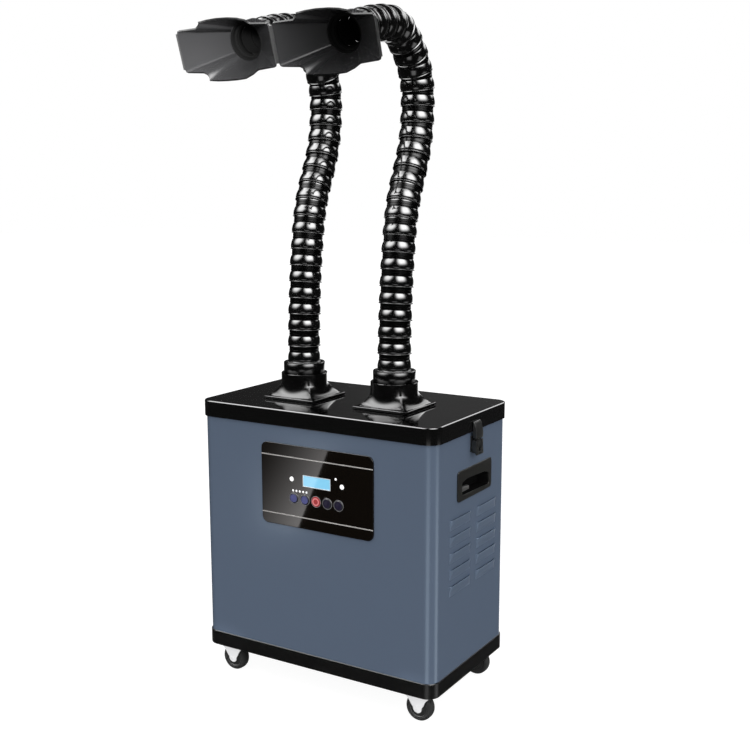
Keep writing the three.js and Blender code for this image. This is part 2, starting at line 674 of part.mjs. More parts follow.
function casterSet() {
  const side1 = caster.wheelWidth / 2 + caster.sideGap;
  const side2 = side1 + caster.sheet;
  const crownLow = z0 - caster.plateHeight - 2 * gap - caster.plateDrop - caster.crown;
  const crownHigh = crownLow + caster.crown;
  const axleZ = caster.wheelRadius;
  const halfHead = caster.headWidth / 2;
  const cheekShape = outline([
    [-halfHead, crownHigh],
    [-halfHead * forkShares.waistOut, crownHigh + (axleZ - crownHigh) * forkShares.waistHigh],
    [caster.trail - caster.tipRadius * forkShares.shank, crownHigh + (axleZ - crownHigh) * forkShares.waistLow],
    [caster.trail - caster.tipRadius, axleZ],
    [caster.trail - caster.tipRadius * forkShares.chin, axleZ - caster.tipRadius * forkShares.chin],
    [caster.trail, axleZ - caster.tipRadius],
    [caster.trail + caster.tipRadius * forkShares.chin, axleZ - caster.tipRadius * forkShares.chin],
    [caster.trail + caster.tipRadius, axleZ],
    [caster.trail + caster.tipRadius * forkShares.shank, crownHigh + (axleZ - crownHigh) * forkShares.waistLow],
    [halfHead * forkShares.waistOut, crownHigh + (axleZ - crownHigh) * forkShares.waistHigh],
    [halfHead, crownHigh],
  ]);
  const cheek = (y) => solid(frontways(cheekShape, y + caster.sheet, caster.sheet));
  const fork = join(
    block([-halfHead, -side2, crownLow], [halfHead, side2, crownHigh]),
    cheek(side1),
    cheek(-side2),
    solid(alongY(bar(caster.axleRadius, -side2 + caster.sheet / 2, side2 - caster.sheet / 2)).translate(caster.trail, 0, axleZ)),
    solid(bar(caster.stemRadius, crownHigh - caster.crown / 2, z0 + caster.stemLength)),
  );
  const hubHalf = caster.hubWidth / 2;
  const tyreHalf = caster.wheelWidth / 2;
  const bore = caster.axleRadius + gap;
  const wheel = alongY(turned([
    [bore, -hubHalf],
    [caster.hubRadius, -hubHalf],
    [caster.hubRadius, -tyreHalf],
    [caster.wheelRadius - caster.tyreEdge, -tyreHalf],
    [caster.wheelRadius, -tyreHalf + caster.tyreEdge],
    [caster.wheelRadius, tyreHalf - caster.tyreEdge],
    [caster.wheelRadius - caster.tyreEdge, tyreHalf],
    [caster.hubRadius, tyreHalf],
    [caster.hubRadius, hubHalf],
    [bore, hubHalf],
  ], round.wheel)).translate(caster.trail, 0, axleZ);
  const plateLow = z0 - gap - caster.plateHeight;
  const plate = turned([
    [caster.stemRadius + caster.runGap, plateLow],
    [caster.plateRadius, plateLow],
    [caster.plateRadius, plateLow + caster.plateHeight],
    [caster.stemRadius + caster.runGap, plateLow + caster.plateHeight],
  ], round.small);
  return casterPlaces().flatMap(([x, y], i) => [
    node(`caster_plate_${casterNames[i]}`, plate.clone().translate(x, y, 0), finish.steel),
    node(`caster_fork_${casterNames[i]}`, geometryOf(fork).translate(x, y, 0), finish.steel),
    node(`caster_wheel_${casterNames[i]}`, wheel.clone().translate(x, y, 0), finish.rubber),
  ]);
}

// Lid

function lidShell() {
  const outer = [body.width + 2 * lid.overhang, body.depth + 2 * lid.overhang, body.corner + lid.overhang];
  const under = outer.map((value, i) => value - (i < 2 ? 2 * lid.rim : lid.rim));
  const x = filter.width / 2;
  const y = filter.depth / 2;
  const ribOuter = block([-x, filter.shiftY - y, zLid - overrun], [x, filter.shiftY + y, zLidTop - lid.plate]);
  const ribInner = block(
    [-x + lid.rib, filter.shiftY - y + lid.rib, zLid - 2 * overrun],
    [x - lid.rib, filter.shiftY + y - lid.rib, zLidTop - lid.plate],
  );
  let made = cut(
    roundedBlock(outer, zLid, zLidTop),
    cut(roundedBlock(under, zLid - overrun, zLidTop - lid.plate), ribOuter),
    ribInner,
  );
  for (const x1 of [-1, 1]) {
    const duct = bar(lid.ductRadius, zLidTop - lid.plate - overrun, zLidTop + overrun, round.ring);
    made = made.subtract(solid(duct.translate((x1 * arm.spacing) / 2, arm.y, 0)));
  }
  return node("lid_shell", made, finish.glossBlack);
}

// The duct flange: a square plate that sweeps up into a round collar.
function ductFlange(name, x) {
  const flare = Array.from({ length: round.corner + 1 }, (_, i) => i / round.corner);
  const plateHalf = flange.size / 2;
  const outerProfile = [
    [plateHalf, 0],
    [plateHalf, flange.plate],
    ...flare.map((t) => [
      plateHalf - flange.wall - (plateHalf - flange.wall - flange.collarRadius) * Math.sin((t * Math.PI) / 2),
      flange.plate + (flange.flareTop - flange.plate) * (1 - Math.cos((t * Math.PI) / 2)),
    ]),
    [flange.collarRadius, flange.step],
  ];
  const profile = [[flange.bore, 0], ...outerProfile, [flange.bore, flange.step]];
  const made = turned(profile, round.ring);
  const at = made.attributes.position;
  const diagonal = (plateHalf - flange.corner * (1 - Math.SQRT1_2)) * Math.SQRT2;
  for (let i = 0; i < at.count; i += 1) {
    const px = at.getX(i);
    const py = at.getY(i);
    const radius = Math.hypot(px, py);
    if (radius > flange.bore + gap) {
      const square = Math.min(radius / Math.max(Math.abs(px), Math.abs(py)), diagonal / plateHalf);
      const share = THREE.MathUtils.clamp((flange.flareTop - at.getZ(i)) / (flange.flareTop - flange.plate), 0, 1);
      const scale = 1 + (square - 1) * share;
      at.setXY(i, px * scale, py * scale);
    }
  }
  return node(name, made.translate(x, arm.y, zLidTop + gap), finish.glossBlack);
}

// Arms

// Bends a geometry that stands on +Z, forward by an angle, between two heights.
function bend(geometry, angle, low, high) {
  const at = geometry.attributes.position;
  const span = high - low;
  for (let i = 0; i < at.count; i += 1) {
    const z = at.getZ(i);
    const along = THREE.MathUtils.clamp(z - low, 0, span);
    const turn = (angle * along) / span;
    const radius = span / angle;
    const straight = z - low - along;
    const y = at.getY(i);
    at.setY(i, y * Math.cos(turn) - radius * (1 - Math.cos(turn)) - straight * Math.sin(turn));
    at.setZ(i, y * Math.sin(turn) + low + radius * Math.sin(turn) + straight * Math.cos(turn));
  }
  return geometry;
}

const sectionLength = (rings) => rings * ring.pitch;

// The hollow over a ball below, from the bore down to the lip.
function socketProfile() {
  const low = Math.asin(ring.pivotDrop / ring.socket);
  const high = Math.acos(ring.bore / ring.socket);
  return [high, (low + high) / 2, low].map((angle) => [
    ring.socket * Math.cos(angle), ring.socket * Math.sin(angle) - ring.pivotDrop,
  ]);
}

// The profile of one arm section before it is bent: a socket below, rings, and a ball on top.
function sectionProfile(rings, foot) {
  const length = sectionLength(rings);
  const pivot = length - ring.pivotDrop;
  const outer = [];
  const inner = [];
  for (let i = 0; i < rings; i += 1) {
    const low = i * ring.pitch;
    outer.push([ring.lip, low], [ring.barrel, low + ring.pitch * ringShares.barrel]);
    if (i < rings - 1) outer.push([ring.valley, low + ring.pitch - ring.underLip]);
    if (i > 0) inner.unshift([ring.bore, low]);
  }
  const ball = ballAngles.map((degrees) => {
    const angle = THREE.MathUtils.degToRad(degrees);
    return [ring.ball * Math.cos(angle), pivot + ring.ball * Math.sin(angle)];
  });
  const rimRise = Math.sqrt(ring.ball ** 2 - ring.rim ** 2);
  const footEnd = swivel.floorTop - swivel.top;
  const under = foot
    ? [[ring.bore, footEnd], [arm.footRadius, footEnd], [arm.footRadius, 0]]
    : socketProfile();
  return [...outer, ...ball, [ring.rim, pivot + rimRise], [ring.bore, pivot + rimRise], ...inner, ...under];
}

// The ring that turns in the flange's collar and holds the lowest hose ring in its cup.
function swivelCollar(name) {
  const cupLow = swivel.floorTop;
  const profile = [
    [ring.bore, flange.step - swivel.sleeveDrop],
    [swivel.sleeveRadius, flange.step - swivel.sleeveDrop],
    [swivel.sleeveRadius, flange.step + gap],
    [swivel.radius, flange.step + gap],
    [swivel.radius, swivel.top],
    [swivel.cupRadius, swivel.top],
    [swivel.cupRadius, cupLow],
    [ring.bore, cupLow],
  ];
  return node(name, turned(profile, round.ring), finish.glossBlack);
}

// The mouth's outline, one quarter mirrored to four.
function mouthOutline() {
  const quarter = [
    [hood.halfWidth + hood.bulge, 0],
    [hood.halfWidth, hood.halfHeight - hood.corner],
    [hood.halfWidth - hood.corner * (1 - Math.SQRT1_2), hood.halfHeight - hood.corner * (1 - Math.SQRT1_2)],
    [hood.halfWidth - hood.corner, hood.halfHeight],
    [hood.lobeRoot, hood.halfHeight],
    [(hood.lobeRoot + hood.lobeTip) / 2, hood.halfHeight + (hood.lobeHeight - hood.halfHeight) * mouthShares.curl],
    [hood.lobeTip, hood.lobeHeight],
    [hood.lobeTip * mouthShares.crown, hood.lobeHeight + (hood.crown - hood.lobeHeight) * mouthShares.crownRise],
    [0, hood.crown],
  ];
  const leftUp = quarter.slice(0, -1).map(([x, y]) => [-x, y]).reverse();
  const upper = [...quarter, ...leftUp];
  const lower = upper.slice(1, -1).map(([x, y]) => [-x, -y]);
  return [...upper, ...lower];
}

// The funnel's skin between the round throat and the mouth: straight lines from one to the other.
function funnel(inset, low, high) {
  const points = mouthOutline();
  const made = prism(outline(points), low, high - low);
  const at = made.attributes.position;
  const radius = hood.throatRadius + hood.wall - inset;
  const mouth = hood.throat + hood.depth;
  for (let i = 0; i < at.count; i += 1) {
    const x = at.getX(i);
    const y = at.getY(i);
    const reach = Math.hypot(x, y);
    const share = (at.getZ(i) - hood.throat) / (mouth - hood.throat);
    const scale = ((reach - inset) * share + radius * (1 - share)) / reach;
    at.setXY(i, x * scale, y * scale);
  }
  return solid(made);
}

function hoodShell(name) {
  const mouth = hood.throat + hood.depth;
  const outer = hood.throatRadius + hood.wall;
  const neck = solid(turned([
    [hood.lip, 0],
    [hood.lip, hood.shoulder],
    [outer, hood.throat],
    [outer, hood.throat + gap],
    [hood.throatRadius - gap, hood.throat + gap],
    [hood.throatRadius - gap, hood.throat - hood.stepDepth / 2],
    [hood.stepRadius, hood.throat - hood.stepDepth / 2],
    [hood.stepRadius, hood.throat - hood.stepDepth],
    [ring.bore, hood.throat - hood.stepDepth],
    ...socketProfile(),
  ], round.hose));
  const skin = cut(funnel(0, hood.throat, mouth), funnel(hood.wall, hood.throat - gap, mouth + overrun));
  return node(name, neck.add(skin), finish.hood);
}

// One arm: nested groups, each section's foot on the last one's head.
function buildArm(sideName) {
  const root = new THREE.Group();
  root.add(swivelCollar(`${sideName}_swivel_collar`));
  let place = root;
  let startZ = swivel.top + gap;
  sections.forEach(({ rings, lean }, i) => {
    const group = new THREE.Group();
    group.name = `${sideName}_section_${i + 1}_frame`;
    group.position.z = startZ;
    place.add(group);
    const length = sectionLength(rings);
    const angle = THREE.MathUtils.degToRad(lean);
    const low = ring.straightFoot;
    const high = length - ring.straightHead;
    const tube = bend(turned(sectionProfile(rings, i === 0), round.hose), angle, low, high);
    group.add(node(`${sideName}_hose_section_${i + 1}`, tube, finish.hose));
    const head = bend(
      new THREE.BufferGeometry().setAttribute("position", new THREE.Float32BufferAttribute([0, 0, length], 3)),
      angle, low, high,
    ).attributes.position;
    const next = new THREE.Group();
    next.position.set(0, head.getY(0), head.getZ(0));
    next.rotation.x = angle;
    group.add(next);
    place = next;
    startZ = 0;
  });
  const mouth = new THREE.Group();
  mouth.name = `${sideName}_hood_frame`;
  mouth.add(hoodShell(`${sideName}_hood`));
  place.add(mouth);
  return root;
}

// The whole

const model = new THREE.Group();
const { filters, seal } = filterStack();
const { fixed, buttons } = controlPanel();
const rightHandle = cupHandle("handle_right");
const rightLatch = drawLatch("right");
model.add(
  cabinetShell(),
  baseTray(),
  filterShelf(),
  ...filters,
  seal,
  ...fanUnit(),
  ...fixed,
  ...buttons,
  rightHandle,
  ...mirrored([rightHandle], "right", "left"),
  ...rightLatch,
  ...mirrored(rightLatch, "right", "left"),
  powerInlet(),
  ...casterSet(),
  lidShell(),
);
for (const [sideName, x] of [["left", -arm.spacing / 2], ["right", arm.spacing / 2]]) {
  model.add(ductFlange(`${sideName}_flange`, x));
  const made = buildArm(sideName);
  made.position.set(x, arm.y, zLidTop + gap);
  model.add(made);
}

// Origin at the middle of the base
const part = new THREE.Group();
part.add(model);
const box = new THREE.Box3().setFromObject(model);
const centre = box.getCenter(new THREE.Vector3());
model.position.set(-centre.x, -centre.y, -box.min.z);

export default part;
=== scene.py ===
"""Looks of the salon fume extractor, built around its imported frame.

Sizes are millimetres in the cabinet's own frame: centred on the cabinet, z from the floor, front towards -y.
"""

import json
import logging
import math
from dataclasses import dataclass
from enum import Enum
from typing import Callable, Iterable, Sequence

import bmesh
import bpy
from mathutils import Matrix, Vector


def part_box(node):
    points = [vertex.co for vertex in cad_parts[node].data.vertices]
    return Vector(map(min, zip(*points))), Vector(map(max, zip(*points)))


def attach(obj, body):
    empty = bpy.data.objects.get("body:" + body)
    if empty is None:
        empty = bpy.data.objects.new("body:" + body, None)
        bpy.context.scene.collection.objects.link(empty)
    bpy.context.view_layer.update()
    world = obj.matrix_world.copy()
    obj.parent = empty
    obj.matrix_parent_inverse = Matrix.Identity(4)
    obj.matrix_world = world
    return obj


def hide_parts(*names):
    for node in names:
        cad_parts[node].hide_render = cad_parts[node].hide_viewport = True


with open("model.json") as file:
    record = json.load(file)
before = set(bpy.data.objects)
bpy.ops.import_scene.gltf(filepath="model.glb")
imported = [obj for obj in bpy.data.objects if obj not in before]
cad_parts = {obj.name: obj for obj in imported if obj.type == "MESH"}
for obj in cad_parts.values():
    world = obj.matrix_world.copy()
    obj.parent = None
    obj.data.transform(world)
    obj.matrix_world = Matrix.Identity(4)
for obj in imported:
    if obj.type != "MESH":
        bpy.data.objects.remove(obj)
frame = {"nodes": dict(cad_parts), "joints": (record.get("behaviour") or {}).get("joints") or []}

LOG = logging.getLogger("extractor")
MM = 0.001  # in metres
TINY = 1e-5  # metres within which two places are the same
ALONG = 0.9  # part of a unit vector from which it counts as lying along an axis
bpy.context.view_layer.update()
TRAY_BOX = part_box("base_tray")
CENTRE_Y = (TRAY_BOX[0].y + TRAY_BOX[1].y) / 2
RIGHT_ANGLE = math.pi / 2

Piece = bpy.types.Object
Pair = tuple[float, float]
Triple = tuple[float, float, float]
Test = Callable[[Vector, Vector], bool]


def at(x: float, y: float, z: float) -> Vector:
    """Return a point of the cabinet's frame in scene metres."""
    return Vector((x * MM, y * MM + CENTRE_Y, z * MM))


def up(height: float) -> Vector:
    """Return a move upwards by a height in millimetres."""
    return Vector((0, 0, height * MM))


def joint_place(name: str) -> Vector:
    """Return where a joint of the frame sits, in metres."""
    return Vector(next(joint for joint in frame["joints"] if joint["name"] == name)["pos_m"])


# The bench


class Element(Enum):
    """What a selection is made of."""

    POINT = "VERT"
    EDGE = "EDGE"
    FACE = "FACE"


class Axis(Enum):
    """An axis that a round primitive is laid along, with the turn that lays it there."""

    X = (0.0, RIGHT_ANGLE, 0.0)
    Y = (-RIGHT_ANGLE, 0.0, 0.0)
    Z = (0.0, 0.0, 0.0)

    @property
    def way(self) -> Vector:
        """Return the axis as a unit vector."""
        return {Axis.X: Vector((1, 0, 0)), Axis.Y: Vector((0, 1, 0)), Axis.Z: Vector((0, 0, 1))}[self]


def clear_bench() -> None:
    """Leave edit mode and deselect everything."""
    if bpy.context.mode != "OBJECT":
        bpy.ops.object.mode_set(mode="OBJECT")
    bpy.ops.object.select_all(action="DESELECT")


def take(obj: Piece) -> None:
    """Make one object the only selected and the active one.

    Args:
        obj: The object to take.
    """
    clear_bench()
    obj.select_set(True)
    bpy.context.view_layer.objects.active = obj


class Work:
    """A piece on the bench, held in edit mode while operators shape it."""

    def __init__(self, name: str) -> None:
        """Take up the primitive that was just added.

        Args:
            name: The piece's name.
        """
        self.obj = bpy.context.active_object
        self.obj.name = name
        self.obj.data.name = name
        bpy.ops.object.transform_apply(location=True, rotation=True, scale=True)
        bpy.ops.object.mode_set(mode="EDIT")

    @classmethod
    def block(cls, name: str, low: Vector, high: Vector) -> "Work":
        """Start from a cube stretched between two corners.

        Args:
            name: The piece's name.
            low: Lowest corner, in metres.
            high: Highest corner, in metres.

        Returns:
            The piece on the bench, with everything selected.
        """
        clear_bench()
        bpy.ops.mesh.primitive_cube_add(size=1, location=(low + high) / 2, scale=high - low)
        return cls(name)

    @classmethod
    def hoop(cls, name: str, sides: int, radius: float, centre: Vector, axis: Axis = Axis.Z) -> "Work":
        """Start from an open circle of edges.

        Args:
            name: The piece's name.
            sides: Number of edges.
            radius: Radius in metres.
            centre: Centre in metres.
            axis: Axis of the circle.

        Returns:
            The piece on the bench, with the circle selected.
        """
        clear_bench()
        bpy.ops.mesh.primitive_circle_add(vertices=sides, radius=radius, location=centre, rotation=axis.value)
        work = cls(name)
        bpy.ops.mesh.select_mode(type="EDGE")
        return work.pick_all()

    @property
    def cage(self) -> bmesh.types.BMesh:
        """Return the mesh as edit mode holds it."""
        return bmesh.from_edit_mesh(self.obj.data)

    def pick(self, element: Element, test: Test) -> "Work":
        """Select the points, edges or faces that pass a test.

        Args:
            element: What to select.
            test: Says yes or no for a middle and a normal.

        Returns:
            The same piece.
        """
        bpy.ops.mesh.select_mode(type=element.value)
        bpy.ops.mesh.select_all(action="DESELECT")
        cage = self.cage
        if element is Element.POINT:
            for point in cage.verts:
                point.select_set(test(point.co, point.normal))
        elif element is Element.EDGE:
            for edge in cage.edges:
                ends = [point.co for point in edge.verts]
                edge.select_set(test((ends[0] + ends[1]) / 2, (ends[1] - ends[0]).normalized()))
        else:
            for face in cage.faces:
                face.select_set(test(face.calc_center_median(), face.normal))
        cage.select_flush_mode()
        bmesh.update_edit_mesh(self.obj.data)
        return self

    def pick_all(self) -> "Work":
        """Select everything."""
        bpy.ops.mesh.select_all(action="SELECT")
        return self

    def extrude(self, move: Vector) -> "Work":
        """Extrude the selection by a move in metres."""
        bpy.ops.mesh.extrude_region_move(TRANSFORM_OT_translate={"value": tuple(move)})
        return self

    def shift(self, move: Vector) -> "Work":
        """Move the selection."""
        bpy.ops.transform.translate(value=tuple(move))
        return self

    def resize(self, scale: Sequence[float], centre: Vector) -> "Work":
        """Scale the selection about a centre."""
        bpy.ops.transform.resize(value=tuple(scale), center_override=tuple(centre))
        return self

    def inset(self, thickness: float, depth: float = 0.0) -> "Work":
        """Inset the selected faces."""
        bpy.ops.mesh.inset(thickness=thickness, depth=depth)
        return self

    def bevel(self, offset: float, segments: int) -> "Work":
        """Bevel the selected edges."""
        bpy.ops.mesh.bevel(offset=offset, segments=segments, profile=0.5, affect="EDGES")
        return self

    def round_uprights(self, radius: float, segments: int) -> "Work":
        """Round the upright edges with a radius in millimetres."""
        return self.pick(Element.EDGE, lambda _, way: abs(way.z) > ALONG).bevel(radius * MM, segments)

    def delete(self) -> "Work":
        """Delete the selected faces."""
        bpy.ops.mesh.delete(type="FACE")
        return self

    def fill(self) -> "Work":
        """Close the selected loop with one face."""
        bpy.ops.mesh.edge_face_add()
        return self

    def reshape(self, target: Callable[[Vector], Vector]) -> "Work":
        """Move each selected point to where a rule sends it, and leave them all selected.

        Args:
            target: Gives a point's new place from its old one.

        Returns:
            The same piece.
        """
        bpy.ops.mesh.select_mode(type="VERT")
        chosen = [point.index for point in self.cage.verts if point.select]
        for index in chosen:
            bpy.ops.mesh.select_all(action="DESELECT")
            cage = self.cage
            cage.verts.ensure_lookup_table()
            point = cage.verts[index]
            point.select_set(True)
            cage.select_flush_mode()
            self.shift(target(point.co.copy()) - point.co)
        cage = self.cage
        cage.verts.ensure_lookup_table()
        for index in chosen:
            cage.verts[index].select_set(True)
        cage.select_flush_mode()
        return self

    def raise_rings(self, steps: Sequence[Pair], base: Vector, axis: Axis = Axis.Z) -> "Work":
        """Draw a selected circle up through a profile of radius and height.

        Args:
            steps: Radius and height pairs in millimetres; the circle stands on the first.
            base: Where height 0 is, in metres.
            axis: Axis of the circle.

        Returns:
            The same piece, with the last circle selected.
        """
        for (radius, height), (next_radius, next_height) in zip(steps, steps[1:]):
            self.extrude(axis.way * (next_height - height) * MM)
            if next_radius != radius:
                self.resize([next_radius / radius] * 3, base + axis.way * next_height * MM)
        return self

    def done(self, smooth: float | None = 30.0) -> Piece:
        """Close the seams, turn the faces outwards and leave edit mode.

        Args:
            smooth: Angle in degrees under which edges are shaded smooth, or None.

        Returns:
            The finished object.
        """
        self.pick_all()
        bpy.ops.mesh.remove_doubles(threshold=TINY / 10)
        bpy.ops.mesh.normals_make_consistent(inside=False)
        bpy.ops.object.mode_set(mode="OBJECT")
        if smooth is not None:
            soften(self.obj, smooth)
        return self.obj


def soften(obj: Piece, degrees: float = 30.0) -> None:
    """Shade an object smooth under an angle."""
    take(obj)
    bpy.ops.object.shade_smooth_by_angle(angle=math.radians(degrees))


def modify(obj: Piece, kind: str, **settings: object) -> Piece:
    """Put a modifier on an object and apply it.

    Args:
        obj: The object.
        kind: Blender's name of the modifier.
        **settings: The modifier's values.

    Returns:
        The same object.
    """
    take(obj)
    bpy.ops.object.modifier_add(type=kind)
    modifier = obj.modifiers[-1]
    for key, value in settings.items():
        setattr(modifier, key, value)
    bpy.ops.object.modifier_apply(modifier=modifier.name)
    return obj


def even_shading(obj: Piece) -> Piece:
    """Let large flat faces keep their own normals."""
    return modify(obj, "WEIGHTED_NORMAL", keep_sharp=True, weight=100)


def settle(obj: Piece, degrees: float = 30.0) -> Piece:
    """Shade an object smooth under an angle, apart from its large flat faces."""
    soften(obj, degrees)
    return even_shading(obj)


def chamfer(obj: Piece, width: float, segments: int, degrees: float) -> Piece:
    """Round all edges of an object that turn by more than an angle.

    Args:
        obj: The object.
        width: Width of the rounding in millimetres.
        segments: Facets of the rounding.
        degrees: The angle.

    Returns:
        The same object.
    """
    return modify(obj, "BEVEL", width=width * MM, segments=segments, limit_method="ANGLE",
                  angle_limit=math.radians(degrees))


def carve(obj: Piece, cutter: Piece) -> Piece:
    """Cut one object out of another and throw the cutter away.

    Args:
        obj: The object that is cut.
        cutter: The shape of the hole.

    Returns:
        The cut object.
    """
    modify(obj, "BOOLEAN", object=cutter, operation="DIFFERENCE", solver="EXACT")
    bpy.data.objects.remove(cutter)
    return obj


def weld(name: str, parts: Iterable[Piece]) -> Piece:
    """Join objects into one.

    Args:
        name: Name of the result.
        parts: The objects, the first of which takes in the rest.

    Returns:
        The joined object.
    """
    parts = list(parts)
    take(parts[0])
    for part in parts[1:]:
        part.select_set(True)
    if len(parts) > 1:
        bpy.ops.object.join()
    joined = bpy.context.active_object
    joined.name = name
    joined.data.name = name
    return joined


def copy_of(obj: Piece, name: str, place: Matrix) -> Piece:
    """Copy an object with a mesh of its own, and put the place into the mesh.

    Args:
        obj: The object to copy.
        name: Name of the copy.
        place: Where the copy goes.

    Returns:
        The copy.
    """
    take(obj)
    bpy.ops.object.duplicate(linked=False)
    made = bpy.context.active_object
    made.name = name
    made.data.name = name
    made.matrix_world = place
    bpy.ops.object.transform_apply(location=True, rotation=True, scale=True)
    if place.determinant() < 0:
        bpy.ops.object.mode_set(mode="EDIT")
        bpy.ops.mesh.select_all(action="SELECT")
        bpy.ops.mesh.normals_make_consistent(inside=False)
        bpy.ops.object.mode_set(mode="OBJECT")
    return made


def mirrored(obj: Piece, name: str) -> Piece:
    """Copy a right-hand piece to the left."""
    return copy_of(obj, name, Matrix.Scale(-1, 4, Vector((1, 0, 0))))


def lathe(name: str, steps: Sequence[Pair], base: Vector, sides: int = 48, axis: Axis = Axis.Z,
          smooth: float = 30.0) -> Piece:
    """Turn a piece from a profile; an open end is capped.

    Args:
        name: Name of the piece.
        steps: Radius and height pairs in millimetres, from one end to the other.
        base: Where height 0 is, in metres.
        sides: Facets round.
        axis: Axis that the piece is turned about.
        smooth: Angle under which edges are shaded smooth.

    Returns:
        The finished object.
    """
    work = Work.hoop(name, sides, steps[0][0] * MM, base + axis.way * steps[0][1] * MM, axis)
    closed = steps[0] == steps[-1]
    if not closed:
        work.fill()
        work.extrude(axis.way * (steps[1][1] - steps[0][1]) * MM)
        work.resize([steps[1][0] / steps[0][0]] * 3, base + axis.way * steps[1][1] * MM)
        steps = steps[1:]
    work.raise_rings(steps, base, axis)
    return work.done(smooth)


def rod(name: str, radius: float, ends: Pair, base: Vector, sides: int = 24,
        axis: Axis = Axis.Z) -> Piece:
    """Turn a plain round rod.

    Args:
        name: Name of the piece.
        radius: Its radius in millimetres.
        ends: Heights of its two ends in millimetres.
        base: Where height 0 is, in metres.
        sides: Facets round.
        axis: Axis of the rod.

    Returns:
        The finished object.
    """
    return lathe(name, [(radius, end) for end in ends], base, sides, axis)


def box_cut(low: Vector, high: Vector) -> Piece:
    """Return a block between two corners, to cut with."""
    return Work.block("cut", low, high).done(None)


def spot_key(spot: Vector, digits: int = 7) -> tuple[float, ...]:
    """Return a point's rounded coordinates, to look it up by."""
    return tuple(round(value, digits) for value in spot)


def plate(name: str, outline: Sequence[Vector], depth: Vector) -> Work:
    """Start a plate of any outline: a circle whose points go to the outline, filled and drawn out.

    Args:
        name: Name of the piece.
        outline: Corner points in order, in metres.
        depth: How far and which way the plate is drawn out.

    Returns:
        The piece on the bench, with its far face selected.
    """
    work = Work.hoop(name, len(outline), MM, Vector())
    goals = {spot_key(point.co): goal for point, goal in zip(work.cage.verts, outline)}
    work.reshape(lambda old: goals[spot_key(old)])
    work.fill()
    if depth.length:
        work.extrude(depth)
    return work


def round_rectangle(width: float, height: float, radius: float, segments: int) -> list[Pair]:
    """Return the outline of a rectangle with round corners, anticlockwise.

    Args:
        width: Full width.
        height: Full height.
        radius: Corner radius.
        segments: Facets of each corner.

    Returns:
        Points about the middle.
    """
    points = []
    for turn, (sx, sy) in enumerate([(1, 1), (-1, 1), (-1, -1), (1, -1)]):
        for step in range(segments + 1):
            angle = RIGHT_ANGLE * (turn + step / segments)
            points.append((sx * (width / 2 - radius) + radius * math.cos(angle),
                           sy * (height / 2 - radius) + radius * math.sin(angle)))
    return points


# Finishes


class Grain(Enum):
    """What the surface of a finish is like up close."""

    ORANGE_PEEL = "orange peel"
    MOULDED = "moulded"
    BRUSHED = "brushed"
    CELLS = "cells"
    FIBRES = "fibres"


BRUSH_STRETCH = 12  # how much closer a brushed grain lies across its strokes
CLOUDS_PER_METRE = 14.0
CLOUD_DETAIL = 5.0
CLOUD_RANGE = (0.3, 0.7)  # what the clouds' noise mostly keeps to


@dataclass(frozen=True)
class Finish:
    """A material with its grain, drift of colour and uneven gloss."""

    name: str
    colour: Triple
    grain: Grain
    roughness: float
    per_metre: float = 900.0
    height: float = 0.01
    drift: float = 0.05
    patchy: float = 0.08
    metallic: float = 0.0
    specular: float = 0.5
    coat: float = 0.0
    coat_roughness: float = 0.05
    glow: float = 0.0
    tint: Triple = (1.0, 1.0, 1.0)

    def material(self) -> bpy.types.Material:
        """Return the material, made on its first use."""
        known = bpy.data.materials.get(self.name)
        return known if known else self._mix()

    def _mix(self) -> bpy.types.Material:
        """Lay out the material's nodes.

        Returns:
            The new material.
        """
        made = bpy.data.materials.new(self.name)
        made.use_nodes = True
        nodes, links = made.node_tree.nodes, made.node_tree.links
        shader = nodes["Principled BSDF"]
        shader.inputs["Metallic"].default_value = self.metallic
        shader.inputs["Specular IOR Level"].default_value = self.specular
        shader.inputs["Specular Tint"].default_value = (*self.tint, 1)
        shader.inputs["Coat Weight"].default_value = self.coat
        shader.inputs["Coat Roughness"].default_value = self.coat_roughness
        place = nodes.new("ShaderNodeTexCoord").outputs["Object"]
        if self.grain is Grain.BRUSHED:
            lay = nodes.new("ShaderNodeMapping")
            lay.inputs["Scale"].default_value = (1, 1, BRUSH_STRETCH)
            links.new(place, lay.inputs["Vector"])
            place = lay.outputs["Vector"]
        fine = nodes.new("ShaderNodeTexVoronoi" if self.grain is Grain.CELLS else "ShaderNodeTexNoise")
        fine.inputs["Scale"].default_value = self.per_metre
        links.new(place, fine.inputs["Vector"])
        broad = nodes.new("ShaderNodeTexNoise")
        broad.inputs["Scale"].default_value = CLOUDS_PER_METRE
        broad.inputs["Detail"].default_value = CLOUD_DETAIL
        links.new(place, broad.inputs["Vector"])
        blend = nodes.new("ShaderNodeMix")
        blend.data_type = "RGBA"
        blend.inputs[6].default_value = (*[value * (1 - self.drift) for value in self.colour], 1)
        blend.inputs[7].default_value = (*[min(1, value * (1 + self.drift)) for value in self.colour], 1)
        links.new(broad.outputs[0], blend.inputs[0])
        links.new(blend.outputs[2], shader.inputs["Base Color"])
        if self.glow:
            links.new(blend.outputs[2], shader.inputs["Emission Color"])
            shader.inputs["Emission Strength"].default_value = self.glow
        gloss = nodes.new("ShaderNodeMapRange")
        gloss.inputs["From Min"].default_value, gloss.inputs["From Max"].default_value = CLOUD_RANGE
        gloss.inputs["To Min"].default_value = self.roughness * (1 - self.patchy)
        gloss.inputs["To Max"].default_value = self.roughness * (1 + self.patchy)
        links.new(broad.outputs[0], gloss.inputs["Value"])
        links.new(gloss.outputs[0], shader.inputs["Roughness"])
        bump = nodes.new("ShaderNodeBump")
        bump.inputs["Strength"].default_value = 1.0
        bump.inputs["Distance"].default_value = self.height * MM
        links.new(fine.outputs[0], bump.inputs["Height"])
        links.new(bump.outputs[0], shader.inputs["Normal"])
        return made


def grey(level: float) -> Triple:
    """Return a neutral colour."""
    return (level, level, level)


